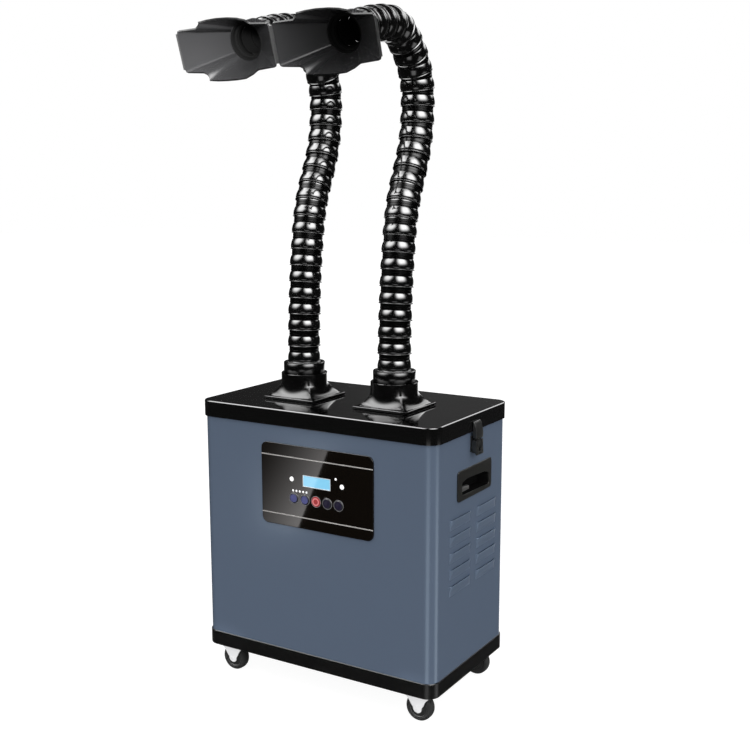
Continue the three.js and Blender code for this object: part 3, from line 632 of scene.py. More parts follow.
BODY_PAINT = Finish("body_paint", (0.137, 0.180, 0.256), Grain.ORANGE_PEEL, 0.2, 700, 0.003, 0.01, 0.04,
                    specular=1.0, tint=(0.72, 0.88, 1.0))
# The body's blue paint for the louvres, made a little lighter as painted light.
LOUVRE_PAINT_PAINTED_LIGHT = Finish("louvre_paint", (0.141, 0.186, 0.264), Grain.ORANGE_PEEL, 0.4, 700, 0.003, 0.01, 0.04,
                      tint=(0.75, 0.9, 1.0))
TRAY_PLASTIC = Finish("tray_plastic", grey(0.0048), Grain.MOULDED, 0.3, 1400, 0.006)
LID_GLOSS = Finish("lid_gloss", grey(0.003), Grain.ORANGE_PEEL, 0.06, 260, 0.0004, specular=0.7,
                   coat=0.35)
FLANGE_GLOSS = Finish("flange_gloss", grey(0.0015), Grain.ORANGE_PEEL, 0.16, 300, 0.0006)
RING_GLOSS = Finish("ring_gloss", grey(0.001), Grain.ORANGE_PEEL, 0.14, 300, 0.0006, specular=1.0)
# Painted highlight: a lighter grey on the ring lips that draws their bright line.
RING_LIP_PAINTED_HIGHLIGHT = Finish("ring_lip", grey(0.012), Grain.MOULDED, 0.42, 900, 0.003)
# Painted shade: the ring black with weak reflection, for the necks between rings.
RING_NECK_PAINTED_SHADE = Finish("ring_neck", grey(0.001), Grain.ORANGE_PEEL, 0.2, 300, 0.0006, specular=0.2)
HOOD_SMOKE = Finish("hood_smoke", (0.029, 0.029, 0.030), Grain.MOULDED, 0.24, 1200, 0.002, specular=0.6)
# Painted shade: a darker black for the mouth's edge, drawing its dark outline.
HOOD_EDGE_PAINTED_SHADE = Finish("hood_edge", grey(0.004), Grain.MOULDED, 0.35, 1200, 0.003, specular=0.4)
# Painted highlight: a paler grey for the mouth's end rims.
HOOD_RIM_PAINTED_HIGHLIGHT = Finish("hood_rim", grey(0.06), Grain.MOULDED, 0.3, 1200, 0.003, specular=0.6)
# Painted shade: a dull black with no reflection for the insides of the throats and ring bores.
THROAT_PAINTED_SHADE = Finish("throat_black", grey(0.010), Grain.MOULDED, 0.8, 1200, 0.01, specular=0.0)
PANEL_GLASS = Finish("panel_glass", (0.0048, 0.0032, 0.002), Grain.ORANGE_PEEL, 0.04, 200, 0.0003)
PANEL_TRIM = Finish("panel_trim", (0.62, 0.60, 0.58), Grain.BRUSHED, 0.35, 900, 0.004, metallic=0.2)
DISPLAY_BLUE = Finish("display_blue", (0.25, 0.64, 0.90), Grain.MOULDED, 0.05, 900, 0.0003, 0.02, glow=0.35)
DISPLAY_EDGE = Finish("display_edge", (0.85, 0.9, 0.93), Grain.MOULDED, 0.3, 900, 0.002, 0.02, glow=0.1)
LIGHT_WHITE = Finish("light_white", grey(0.95), Grain.MOULDED, 0.3, 900, 0.002, 0.02, glow=0.6)
BUTTON_RING = Finish("button_ring", (0.24, 0.24, 0.25), Grain.MOULDED, 0.4, 900, 0.003)
BUTTON_DARK = Finish("button_dark", (0.012, 0.012, 0.016), Grain.MOULDED, 0.3, 900, 0.003)
BUTTON_VIOLET = Finish("button_violet", (0.075, 0.065, 0.24), Grain.MOULDED, 0.3, 900, 0.003, 0.1)
BUTTON_NIGHT = Finish("button_night", (0.009, 0.006, 0.03), Grain.MOULDED, 0.3, 900, 0.003, 0.1)
BUTTON_RED = Finish("button_red", (0.62, 0.02, 0.022), Grain.MOULDED, 0.3, 900, 0.003, 0.1, glow=0.15)
BUTTON_PALE = Finish("button_pale", (0.85, 0.27, 0.28), Grain.MOULDED, 0.3, 900, 0.003, 0.05, glow=0.1)
HANDLE_GREY = Finish("handle_grey", (0.016, 0.016, 0.0145), Grain.MOULDED, 0.4, 1500, 0.01, specular=0.4)
# Painted shade: a darker, non-reflecting copy of the handle grey for the pocket's inside.
POCKET_PAINTED_SHADE = Finish("pocket_black", grey(0.007), Grain.MOULDED, 0.7, 1500, 0.01, specular=0.0)
# Painted highlight: a light grey for the lip bar inside the pocket.
POCKET_LIP_PAINTED_HIGHLIGHT = Finish("pocket_lip", (0.1, 0.1, 0.098), Grain.MOULDED, 0.4, 1500, 0.01)
LATCH_GREY = Finish("latch_grey", (0.018, 0.0185, 0.018), Grain.MOULDED, 0.36, 1500, 0.01)
FORK_STEEL = Finish("fork_steel", (0.45, 0.45, 0.46), Grain.BRUSHED, 0.4, 1200, 0.004)
# Painted highlight: a much lighter copy of the fork steel for the cheeks' outer rims.
FORK_RIM_PAINTED_HIGHLIGHT = Finish("fork_rim", (0.8, 0.8, 0.81), Grain.BRUSHED, 0.35, 1200, 0.003)
TYRE_BLACK = Finish("tyre_black", grey(0.004), Grain.MOULDED, 0.4, 1500, 0.02, specular=0.25)
HUB_GREY = Finish("hub_grey", grey(0.02), Grain.MOULDED, 0.4, 1500, 0.02)
ZINC = Finish("zinc", (0.36, 0.37, 0.38), Grain.BRUSHED, 0.45, 900, 0.01, metallic=0.8)
BLACK_PLASTIC = Finish("black_plastic", grey(0.012), Grain.MOULDED, 0.5, 1500, 0.02)
MOTOR_GREY = Finish("motor_grey", (0.05, 0.05, 0.052), Grain.MOULDED, 0.5, 1500, 0.03)
BOARD_GREEN = Finish("board_green", (0.012, 0.085, 0.03), Grain.FIBRES, 0.4, 2500, 0.01)
SEAL_FOAM = Finish("seal_foam", grey(0.012), Grain.CELLS, 0.9, 1800, 0.12)
FILTER_PAPER = Finish("filter_paper", (0.62, 0.61, 0.57), Grain.FIBRES, 0.9, 1400, 0.06)
PREFILTER_FOAM = Finish("prefilter_foam", (0.035, 0.036, 0.038), Grain.CELLS, 0.95, 900, 0.5)
FRAME_CARD = Finish("frame_card", (0.5, 0.5, 0.48), Grain.FIBRES, 0.8, 900, 0.04)


def dress(obj: Piece, *finishes: Finish) -> Piece:
    """Give an object its finishes, one material slot each.

    Args:
        obj: The object.
        *finishes: The finishes in slot order.

    Returns:
        The same object.
    """
    for index, finish in enumerate(finishes):
        if index < len(obj.material_slots):
            obj.material_slots[index].material = finish.material()
        else:
            obj.data.materials.append(finish.material())
    return obj


def dress_node(node: str, finish: Finish) -> None:
    """Give a node of the frame a finish in all its material slots."""
    obj = frame["nodes"][node]
    if not obj.material_slots:
        obj.data.materials.append(finish.material())
    for slot in obj.material_slots:
        slot.material = finish.material()


def mount(obj: Piece, body: str, slot: str, *nodes: str) -> Piece:
    """Let a finished piece ride on a body and stand for nodes of the frame.

    Args:
        obj: The piece.
        body: The body it moves with.
        slot: The record's material slot; not used.
        *nodes: The nodes it replaces.

    Returns:
        The same piece.
    """
    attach(obj, body)
    if nodes:
        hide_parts(*nodes)
    LOG.info("%s rides on %s, %d faces", obj.name, body, len(obj.data.polygons))
    return obj


def paint_faces(obj: Piece, index: int, test: Test) -> None:
    """Put the faces that pass a test into a material slot.

    Args:
        obj: The object.
        index: Number of the slot.
        test: Says yes or no for a face's middle and normal.
    """
    for face in obj.data.polygons:
        if test(face.center, face.normal):
            face.material_index = index


# Cabinet


@dataclass
class Louvre:
    """One pressed louvre of the right wall, open along its top edge above a slot in the wall."""

    length: float = 76.0
    height: float = 18.0
    lift: float = 4.2
    sheet: float = 1.1
    end: float = 13.0
    slot: Pair = (12.0, 1.2)
    cuts: int = 23

    def build(self, wall_x: float) -> Piece:
        """Press one louvre about y 0 with its top edge at z 0.

        Args:
            wall_x: The wall's outer face.

        Returns:
            The louvre.
        """
        clear_bench()
        middle = at(wall_x, 0, -self.height / 2)
        bpy.ops.mesh.primitive_plane_add(size=1, location=middle, rotation=Axis.X.value)
        sheet = bpy.context.active_object
        sheet.scale = (self.height * MM, self.length * MM, 1)
        work = Work("louvre")
        work.pick_all()
        bpy.ops.mesh.subdivide(number_cuts=self.cuts)
        rows = self.cuts + 1
        for row in range(rows + 1):
            share = row / rows
            z = (share - 1) * self.height * MM
            rise = share * share * (3 - 2 * share) if share < 0.5 else share
            work.pick(Element.POINT, lambda co, _: abs(co.z - z) < TINY)
            work.shift(Vector((self.lift * MM * rise, 0, 0)))
        for column in range(rows + 1):
            y = (column / rows - 0.5) * self.length
            inside = min(1.0, (self.length / 2 - abs(y)) / self.end)
            share = math.sqrt(max(0.0, 1 - (1 - inside) ** 2))
            if share < 1:
                work.pick(Element.POINT, lambda co, _: abs(co.y - CENTRE_Y - y * MM) < TINY)
                work.resize((share, 1, 1), middle)
        bpy.ops.object.mode_set(mode="OBJECT")
        soften(work.obj, 60)
        return modify(work.obj, "SOLIDIFY", thickness=self.sheet * MM, offset=-1)


@dataclass
class Cabinet:
    """The painted shell with its holes and louvres."""

    width: float = 480.0
    depth: float = 274.0
    low: float = 81.0
    top: float = 490.0
    corner: float = 21.0
    wall: float = 2.0
    louvre_y: Pair = (-43.5, 55.8)
    louvre_top: float = 351.0
    louvre_pitch: float = 28.8
    louvre_rows: int = 5
    window: tuple[float, float, float, float] = (-87.3, 108.7, 329.5, 441.5)
    grip_y: float = 6.5
    grip_z: float = 403.0
    grip_half: Pair = (55.3, 21.8)
    socket_x: float = 150.0
    socket_z: float = 143.0
    socket_half: Pair = (14.3, 10.8)

    def build(self) -> None:
        """Build the shell and the louvres of both sides."""
        right, back = self.width / 2, self.depth / 2
        work = Work.block("cabinet_shell_painted", at(-right, -back, self.low), at(right, back, self.top))
        work.pick(Element.FACE, lambda _, way: abs(way.z) > ALONG).delete()
        work.round_uprights(self.corner, 18)
        work.pick_all()
        bpy.ops.mesh.normals_make_consistent(inside=False)
        bpy.ops.object.mode_set(mode="OBJECT")
        shell = modify(work.obj, "SOLIDIFY", thickness=self.wall * MM, offset=-1)
        deep = 2 * self.wall
        x0, x1, z0, z1 = self.window
        cutters = [box_cut(at(x0, -back - deep, z0), at(x1, -back + deep, z1))]
        half_x, half_z = self.socket_half
        cutters.append(box_cut(at(self.socket_x - half_x, back - deep, self.socket_z - half_z),
                               at(self.socket_x + half_x, back + deep, self.socket_z + half_z)))
        half_y, half_z = self.grip_half
        louvre = Louvre()
        reach = louvre.length / 2 - louvre.end / 3
        slot_low, slot_high = louvre.slot
        places = [(y, self.louvre_top - row * self.louvre_pitch)
                  for y in self.louvre_y for row in range(self.louvre_rows)]
        for way in (-1, 1):
            inner, outer = sorted((way * (right - deep), way * (right + deep)))
            cutters.append(box_cut(at(inner, self.grip_y - half_y, self.grip_z - half_z),
                                   at(outer, self.grip_y + half_y, self.grip_z + half_z)))
            for y, top in places:
                cutters.append(box_cut(at(inner, y - reach, top - slot_low),
                                       at(outer, y + reach, top - slot_high)))
        settle(carve(shell, weld("cutters", cutters)))
        mount(dress(shell, BODY_PAINT), "cabinet", "body_blue", "cabinet_shell")
        first = louvre.build(right)
        copies = [copy_of(first, "louvre", Matrix.Translation(Vector((0, y, top)) * MM)) for y, top in places]
        bpy.data.objects.remove(first)
        louvres = weld("louvres_right", copies)
        other = mirrored(louvres, "louvres_left")
        for piece in (louvres, other):
            # The louvres take the lighter copy of the body paint: painted light.
            mount(dress(piece, LOUVRE_PAINT_PAINTED_LIGHT), "cabinet", "body_blue")


@dataclass
class BaseTray:
    """The black tray that the cabinet stands in."""

    width: float = 484.2
    depth: float = 278.2
    low: float = 54.0
    top: float = 81.0
    corner: float = 23.1
    floor: float = 4.0
    rim: float = 9.0
    edge: float = 1.2
    stem_x: float = 199.0
    stem_y: float = 108.0
    stem_hole: float = 4.5

    def build(self) -> None:
        """Build the tray with its four stem holes."""
        right, back = self.width / 2, self.depth / 2
        work = Work.block("base_tray_moulded", at(-right, -back, self.low), at(right, back, self.top))
        work.round_uprights(self.corner, 18)
        low, top = self.low * MM, self.top * MM
        work.pick(Element.EDGE, lambda co, _: abs(co.z - low) < TINY or abs(co.z - top) < TINY)
        work.bevel(self.edge * MM, 3)
        work.pick(Element.FACE, lambda co, way: way.z > ALONG and co.z > top - TINY)
        work.inset((self.rim - self.edge) * MM)
        work.extrude(up(self.floor - self.top + self.low))
        tray = work.done(30)
        reach = self.floor + 2
        holes = [rod("hole", self.stem_hole, (-reach, reach), at(x, y, self.low))
                 for x in (-self.stem_x, self.stem_x) for y in (-self.stem_y, self.stem_y)]
        settle(carve(tray, weld("cutters", holes)))
        mount(dress(tray, TRAY_PLASTIC), "cabinet", "tray_black", "base_tray")


@dataclass
class Lid:
    """The gloss lid with its underside rim, rib and two duct holes."""

    width: float = 487.2
    depth: float = 281.2
    low: float = 490.0
    top: float = 519.3
    corner: float = 24.6
    edge: float = 2.4
    low_edge: float = 0.8
    plate: float = 3.0
    seat: float = 0.3
    rim: float = 9.0
    rib_x: float = 205.0
    rib_y: Pair = (-104.0, 128.0)
    rib: float = 5.0
    duct: float = 31.0
    duct_x: float = 95.5
    duct_y: float = -18.0

    def build(self) -> None:
        """Build the lid."""
        right, back = self.width / 2, self.depth / 2
        work = Work.block("lid_moulded", at(-right, -back, self.low), at(right, back, self.top))
        work.round_uprights(self.corner, 24)
        top, low = self.top * MM, self.low * MM
        work.pick(Element.EDGE, lambda co, _: abs(co.z - top) < TINY).bevel(self.edge * MM, 6)
        work.pick(Element.EDGE, lambda co, _: abs(co.z - low) < TINY).bevel(self.low_edge * MM, 2)
        work.pick(Element.FACE, lambda co, way: way.z < -ALONG and co.z < low + TINY)
        work.inset((self.rim - self.low_edge) * MM)
        hollow = up(self.top - self.plate - self.low)
        work.extrude(hollow)
        lid = work.done(30)
        rib = Work.block("rib", at(-self.rib_x, self.rib_y[0], self.low),
                         at(self.rib_x, self.rib_y[1], self.top - self.plate / 2))
        rib.pick(Element.FACE, lambda _, way: way.z < -ALONG).inset(self.rib * MM)
        rib.extrude(hollow)
        ring = rib.done(30)
        reach = 3 * self.plate
        for part in (lid, ring):
            holes = [rod("hole", self.duct, (-reach, reach), at(way * self.duct_x, self.duct_y, self.top), 48)
                     for way in (-1, 1)]
            settle(carve(part, weld("cutters", holes)))
        lid = weld("lid_moulded", [lid, ring])
        mount(dress(lid, LID_GLOSS), "lid", "lid_black", "lid_shell")


# Arms


class Side(Enum):
    """The two arms, with the way along x that each stands."""

    LEFT = -1
    RIGHT = 1

    @property
    def word(self) -> str:
        """Return the side's name."""
        return self.name.lower()


@dataclass
class Flange:
    """The duct flange: a square plate that sweeps up into a round collar."""

    half: float = 54.25
    corner: float = 3.0
    plate: float = 5.0
    edge: float = 0.7
    shoulder: float = 4.0
    flare_top: float = 26.0
    collar: float = 42.0
    step: float = 46.0
    bore: float = 33.6
    sides: int = 96
    flare_steps: int = 12

    def squared(self, share: float, centre: Vector) -> Callable[[Vector], Vector]:
        """Return the rule that moves a circle's points towards a square.

        Args:
            share: 1 for the full square, 0 for the circle.
            centre: The circle's centre.

        Returns:
            The rule for one point.
        """
        diagonal = (self.half - self.corner * (1 - math.sqrt(0.5))) * math.sqrt(2) / self.half

        def rule(point: Vector) -> Vector:
            """Move one point out along its own radius."""
            offset = point - centre
            reach = math.hypot(offset.x, offset.y)
            square = min(reach / max(abs(offset.x), abs(offset.y)), diagonal)
            scale = 1 + (square - 1) * share
            return Vector((centre.x + offset.x * scale, centre.y + offset.y * scale, point.z))

        return rule

    def build(self, side: Side, x: float, y: float, z: float) -> None:
        """Build one flange on the lid.

        Args:
            side: Which arm it carries.
            x: The collar's axis.
            y: The collar's axis.
            z: Underside of the plate.
        """
        base = at(x, y, z)
        inner = self.half - self.shoulder
        steps: list[Triple] = [
            (self.half - self.edge, 0, 1), (self.half, self.edge, 1), (self.half, self.plate - self.edge, 1),
            (self.half - self.edge, self.plate, 1)]
        for number in range(self.flare_steps + 1):
            turn = RIGHT_ANGLE * number / self.flare_steps
            height = self.plate + (self.flare_top - self.plate) * (1 - math.cos(turn))
            share = (self.flare_top - height) / (self.flare_top - self.plate)
            steps.append((inner - (inner - self.collar) * math.sin(turn), height, share))
        for radius, height in ((self.collar, self.step - self.edge), (self.collar - self.edge, self.step),
                               (self.bore, self.step), (self.bore, 0.0)):
            steps.append((radius, height, 0))
        steps.append(steps[0])
        work = Work.hoop(f"{side.word}_flange_gloss", self.sides, steps[0][0] * MM, base)
        work.reshape(self.squared(1, base))
        previous = steps[0]
        for radius, height, share in steps[1:]:
            work.extrude(up(height - previous[1]))
            centre = base + up(height)
            diagonal = self.squared(1, centre)
            back = previous[2]

            def rule(point: Vector) -> Vector:
                """Take a point from the last ring's shape to this one's."""
                offset = point - centre
                angle = math.atan2(offset.y, offset.x)
                unit = Vector((math.cos(angle), math.sin(angle), 0))
                square = (diagonal(centre + unit) - centre).length
                scale = radius * MM * (1 + (square - 1) * share)
                return Vector((centre.x + unit.x * scale, centre.y + unit.y * scale, point.z))

            if share != back or share > 0:
                work.reshape(rule)
            elif radius != previous[0]:
                work.resize([radius / previous[0]] * 3, centre)
            previous = (radius, height, share)
        flange = work.done(32)
        mount(dress(flange, FLANGE_GLOSS), "lid", "flange_black", f"{side.word}_flange")


@dataclass
class Hose:
    """One arm's swivel collar and its ball rings."""

    pitch: float = 28.85
    drop: float = 6.0
    ring_sides: int = 64
    lip_bore: float = 28.6
    barrel: float = 29.75
    belly: float = 6.0
    curve: float = 0.017
    straight_foot: float = 10.0
    straight_head: float = 15.0
    swivel: float = 37.5
    swivel_low: float = 46.3
    swivel_top: float = 65.5
    swivel_edge: float = 0.8
    sleeve: float = 32.7
    sleeve_low: float = 24.0
    cup: float = 30.2
    cup_floor: float = 52.0
    bore: float = 24.0
    foot: float = 29.2
    foot_depth: float = 13.5
    gap: float = 0.3
    ball: float = 28.2
    ball_mouth: float = 25.0
    lip_rise: float = 1.3
    lip_edge: float = 29.6
    neck_span: Pair = (18.0, 28.0)
    inside: float = 26.0
    counts: tuple[int, ...] = (4, 4, 4, 4, 4, 3, 3)
    leans: tuple[float, ...] = (-4.0, -4.0, -18.0, 23.0, 48.0, 53.0, 9.4)
    finishes: tuple[Finish, ...] = (RING_GLOSS, THROAT_PAINTED_SHADE, RING_LIP_PAINTED_HIGHLIGHT, RING_NECK_PAINTED_SHADE)

    def ring(self) -> Piece:
        """Turn one ring with its lip at z 0 and its ball above.

        Returns:
            The ring at the scene's origin.
        """
        top = self.pitch - self.drop + math.sqrt(self.ball ** 2 - self.ball_mouth ** 2)
        lip = [(self.lip_bore, 0.0), (29.7, 0.0), (29.95, 0.2), (30.02, 0.6), (29.85, 1.1), (29.3, 1.6),
               (28.75, 1.95), (28.75, 2.3), (29.1, 2.8), (29.4, 3.5)]
        barrel = [(self.barrel - self.curve * (height - self.belly) ** 2, height)
                  for height in (4.4, 5.6, 6.8, 8.0, 9.2, 10.4, 11.6, 12.8, 14.0, 15.2, 16.4, 17.6)]
        neck = [(27.1, 18.1), (26.7, 18.7), (26.7, 19.5), (27.2, 20.0), (27.25, 20.6), (27.15, 22.8),
                (26.8, 23.2), (26.8, 24.2), (27.15, 24.6), (27.1, 25.2), (27.05, 28.3), (27.0, 29.6),
                (26.5, 32.3), (25.4, 35.1), (24.9, top), (self.bore, top)]
        inner = [(self.bore, 10.28), (25.5, 7.8), (27.0, 4.6), (self.lip_bore, 0.0)]
        ring = lathe("ring", [*lip, *barrel, *neck, *inner], Vector(), self.ring_sides, smooth=30)
        dress(ring, *self.finishes)
        even_shading(ring)
        inside, lip_edge, (neck_low, neck_high) = self.inside * MM, self.lip_edge * MM, self.neck_span
        # The ring bores take the dull black: painted shade in the hollow.
        paint_faces(ring, 1, lambda co, way: co.xy.length < inside or co.xy.dot(way.xy) < 0)
        # The lips take the lighter grey: a painted highlight line.
        paint_faces(ring, 2, lambda co, _: co.z < self.lip_rise * MM and co.xy.length > lip_edge)
        # The necks between rings take the weakly reflecting black: painted shade.
        paint_faces(ring, 3, lambda co, _: neck_low * MM < co.z < neck_high * MM and co.xy.length > inside)
        return ring

    def joint_above(self, side: Side, number: int) -> str:
        """Return the joint at the head of a section, which for the last one carries the hood."""
        if number == len(self.counts) - 1:
            return f"{side.word}_hood_tilt"
        return f"{side.word}_bend_{number + 1}_{'forwards' if number % 2 else 'sideways'}"

    def places(self, side: Side, foot: Vector) -> list[list[Matrix]]:
        """Work out where every ring of an arm stands.

        Args:
            side: Which arm.
            foot: The lowest ring's lip.

        Returns:
            Placing matrices, section by section.
        """
        start, lean, sections = foot, 0.0, []
        for number, (count, more) in enumerate(zip(self.counts, self.leans)):
            turn = math.radians(more)
            placed = []
            for step in range(count):
                low, high = (self.spine(start, lean, turn, count * self.pitch, mark * self.pitch - self.drop)
                             for mark in (step, step + 1))
                way = (high - low).normalized()
                spot = low + way * self.drop * MM
                placed.append(Matrix.Translation(spot) @ Matrix.Rotation(math.atan2(-way.y, way.z), 4, "X"))
            sections.append(placed)
            lean += turn
            start = joint_place(self.joint_above(side, number)) + self.along(lean) * self.drop * MM
        return sections

    def spine(self, start: Vector, lean: float, turn: float, length: float, mark: float) -> Vector:
        """Find a point of a section's middle line: straight, then an arc, then straight.

        Args:
            start: Where the section starts.
            lean: The way it starts, in radians.
            turn: How far it bends.
            length: Length of the section in millimetres.
            mark: How far along the point lies.

        Returns:
            The point.
        """
        arc = length - self.straight_foot - self.straight_head
        run = min(max(mark - self.straight_foot, 0.0), arc)
        rate = turn / arc
        bent = lean + rate * run
        bow = Vector((0, math.cos(bent) - math.cos(lean), math.sin(bent) - math.sin(lean)))
        rest = max(mark - self.straight_foot - arc, 0.0)
        straight = self.along(lean) * min(mark, self.straight_foot) + self.along(lean + turn) * rest
        return start + (straight + bow / rate) * MM

    @staticmethod
    def along(lean: float) -> Vector:
        """Return the way that a lean points, from +Z towards -Y."""
        return Vector((0, -math.sin(lean), math.cos(lean)))

    def build(self, side: Side, x: float, y: float, seat: float) -> Matrix:
        """Build one arm from its swivel collar to its last ring.

        Args:
            side: Which arm.
            x: The collar's axis.
            y: The collar's axis.
            seat: Height that the flange stands on.

        Returns:
            Where the hood goes.
        """
        base = at(x, y, seat)
        edge = self.swivel_edge
        collar = lathe(f"{side.word}_swivel_collar_gloss", [
            (self.bore, self.sleeve_low), (self.sleeve, self.sleeve_low), (self.sleeve, self.swivel_low),
            (self.swivel - edge, self.swivel_low), (self.swivel, self.swivel_low + edge),
            (self.swivel, self.swivel_top - edge), (self.swivel - edge, self.swivel_top),
            (self.cup + edge, self.swivel_top), (self.cup, self.swivel_top - edge),
            (self.cup, self.cup_floor), (self.bore, self.cup_floor), (self.bore, self.sleeve_low)],
            base, 96, smooth=50)
        dress(collar, FLANGE_GLOSS)
        mount(collar, f"{side.word}_swivel", "flange_black", f"{side.word}_swivel_collar")
        ring = self.ring()
        foot = at(x, y, seat + self.swivel_top + self.gap)
        for number, places in enumerate(self.places(side, foot), 1):
            parts = [copy_of(ring, "ring", place) for place in places]
            if number == 1:
                parts.append(lathe("foot", [
                    (self.bore, -self.foot_depth), (self.foot, -self.foot_depth), (self.foot, 1.0),
                    (self.bore, 1.0), (self.bore, -self.foot_depth)], foot, 48))
            section = weld(f"{side.word}_hose_rings_{number}", parts)
            body = f"{side.word}_swivel" if number == 1 else f"{side.word}_section_{number}"
            mount(dress(section, *self.finishes), body, "hose_black", f"{side.word}_hose_section_{number}")
        bpy.data.objects.remove(ring)
        lean = math.radians(sum(self.leans))
        end = joint_place(f"{side.word}_hood_tilt") + self.along(lean) * self.drop * MM
        return Matrix.Translation(end) @ Matrix.Rotation(lean, 4, "X")


@dataclass
class Hood:
    """A hood in its own frame: lip at the origin, mouth along +z, top along +y."""

    half_width: float = 93.3
    half_height: float = 34.5
    corner: float = 5.5
    throat: float = 29.0
    mouth: float = 84.5
    throat_radius: float = 31.0
    wall: float = 2.4
    lip: float = 31.5
    shoulder: float = 15.0
    step_radius: float = 28.5
    step_low: float = 17.0
    step_high: float = 23.0
    bore: float = Hose.bore
    facet: float = 6.0
    rim_in: float = 3.2
    rim_out: float = 1.6
    rim_back: float = 1.0
    rim_front: float = 0.5
    rim_edge: float = 0.7

    def outline(self) -> list[Triple]:
        """Return the mouth's outline with the bearing at which each point meets the throat.

        Returns:
            Points (x, y, bearing in degrees), anticlockwise from the right end.
        """
        wide, high, corner = self.half_width, self.half_height, self.corner
        near = corner * (1 - math.sqrt(0.5))
        return [
            (wide, -high + corner, -30), (wide + 0.6, 0, 0), (wide, high - corner, 30),
            (wide - near, high - near, 33), (wide - corner, high, 36), (57, 36.5, 42), (52.5, 38.6, 45),
            (48, 42, 49), (33, 45.6, 60), (15, 47.5, 74), (-8, 48.0, 92), (-28, 46.9, 112),
            (-45.2, 44.7, 131), (-45.0, 42.2, 133), (-47.5, 39.2, 136), (-53, 35.8, 140),
            (-wide + corner, high, 145.5), (-wide + near, high - near, 149), (-wide, high - corner, 152.5),
            (-wide - 0.2, 0, 180), (-wide, -high + corner, 206), (-wide + near, -high + near, 211.5),
            (-wide + corner, -high, 217), (-55, -36.6, 222), (-49, -39.6, 224), (-46, -43.5, 227),
            (-46.8, -49.2, 231), (-30, -50.8, 243), (-10, -51.2, 258), (10, -50.9, 273), (28, -49.6, 290),
            (44, -43.8, 306), (56, -37.4, 317), (wide - corner, -high, 324), (wide - near, -high + near, 327)]

    def loop(self) -> list[Triple]:
        """Return the outline with points added along its long edges."""
        keys = self.outline()
        points = []
        for first, second in zip(keys, [*keys[1:], (keys[0][0], keys[0][1], keys[0][2] + 360)]):
            sweep = second[2] - first[2]
            parts = max(1, round(sweep / self.facet))
            for part in range(parts):
                share = part / parts
                points.append(tuple(a + (b - a) * share for a, b in zip(first, second)))
        return points

    def build(self, side: Side, place: Matrix) -> None:
        """Build one hood: funnel, neck, end rims and the dark ring at the throat, with painted shade and a
        painted highlight on some faces.

        Args:
            side: Which arm.
            place: Where the hood's lip is.
        """
        hood = weld(f"{side.word}_hood_smoked", [self.funnel(), self.neck(), *self.end_rims()])
        dress(hood, HOOD_SMOKE, HOOD_EDGE_PAINTED_SHADE, HOOD_RIM_PAINTED_HIGHLIGHT, THROAT_PAINTED_SHADE)
        edge, rim_low = (self.mouth - 0.3) * MM, (self.mouth - self.rim_back - 0.2) * MM
        rim_x = (self.half_width - self.rim_in - 0.1) * MM
        rim_y = (self.half_height - self.corner + 0.1) * MM
        throat, throat_top = (self.throat_radius + 0.2) * MM, (self.throat + 0.3) * MM
        # The mouth's edge faces take the darker black: a painted shade outline.
        paint_faces(hood, 1, lambda co, way: way.z > 0.8 and co.z > edge)
        # The end rims take the paler grey: a painted highlight.
        paint_faces(hood, 2, lambda co, _: co.z > rim_low and abs(co.x) > rim_x and abs(co.y) < rim_y)
        # The throat's inside takes the dull black: painted shade in the hollow.
        paint_faces(hood, 3, lambda co, way: co.xy.length < throat and co.z < throat_top
                    and (co.xy.dot(way.xy) < 0 or way.z > 0.5))
        hood.data.transform(place)
        ring = self.throat_ring(side)
        ring.data.transform(place)
        mount(hood, f"{side.word}_hood", "hood_grey", f"{side.word}_hood")
        # The throat ring wears the dull black too: painted shade.
        mount(dress(ring, THROAT_PAINTED_SHADE), f"{side.word}_hood", "hood_grey")

    def funnel(self) -> Piece:
        """Draw the funnel from a round throat out to the mouth's outline, each point along its bearing.

        Returns:
            The funnel with its wall.
        """
        loop = self.loop()
        outer = (self.throat_radius + self.wall) * MM
        work = Work.hoop("funnel", len(loop), outer, up(self.throat))
        throat_goals, mouth_goals = {}, {}
        for point, (x, y, bearing) in zip(work.cage.verts, loop):
            angle = math.radians(bearing)
            spot = Vector((math.cos(angle) * outer, math.sin(angle) * outer, self.throat * MM))
            throat_goals[spot_key(point.co, 6)] = spot
            mouth_goals[spot_key(spot, 6)] = Vector((x * MM, y * MM, self.mouth * MM))
        work.reshape(lambda old: throat_goals[spot_key(old, 6)])
        rise = up(self.mouth - self.throat)
        work.extrude(rise)
        work.reshape(lambda old: mouth_goals[spot_key(old - rise, 6)])
        funnel = work.done(None)
        modify(funnel, "SOLIDIFY", thickness=self.wall * MM, offset=-1, use_even_offset=True,
               thickness_clamp=1.0)
        return settle(funnel, 75)

    def neck(self) -> Piece:
        """Turn the neck that sits on the last ring's ball.

        Returns:
            The neck.
        """
        foot, outer = self.lip - 3.2, self.throat_radius + self.wall
        steps = [
            (foot, 0), (self.lip, 0.4), (self.lip, self.shoulder), (outer, self.throat),
            (outer, self.throat + 0.4), (self.throat_radius, self.throat + 0.4),
            (self.throat_radius, self.step_high), (self.step_radius, self.step_high),
            (self.step_radius, self.step_low), (self.bore, self.step_low), (self.bore, 10.28), (25.5, 7.8),
            (27.0, 4.6), (foot, 0)]
        return lathe("neck", steps, Vector(), 64, smooth=35)

    def end_rims(self) -> list[Piece]:
        """Build the rims that close the mouth's two narrow ends, which take a paler grey as a painted
        highlight.

        Returns:
            The two rims.
        """
        high = self.half_height - self.corner
        rims = []
        for way in (-1, 1):
            middle = way * self.half_width
            rim = Work.block("end", Vector((middle - self.rim_in, -high, self.mouth - self.rim_back)) * MM,
                             Vector((middle + self.rim_out, high, self.mouth + self.rim_front)) * MM)
            rim.pick_all().bevel(self.rim_edge * MM, 3)
            rims.append(rim.done(50))
        return rims

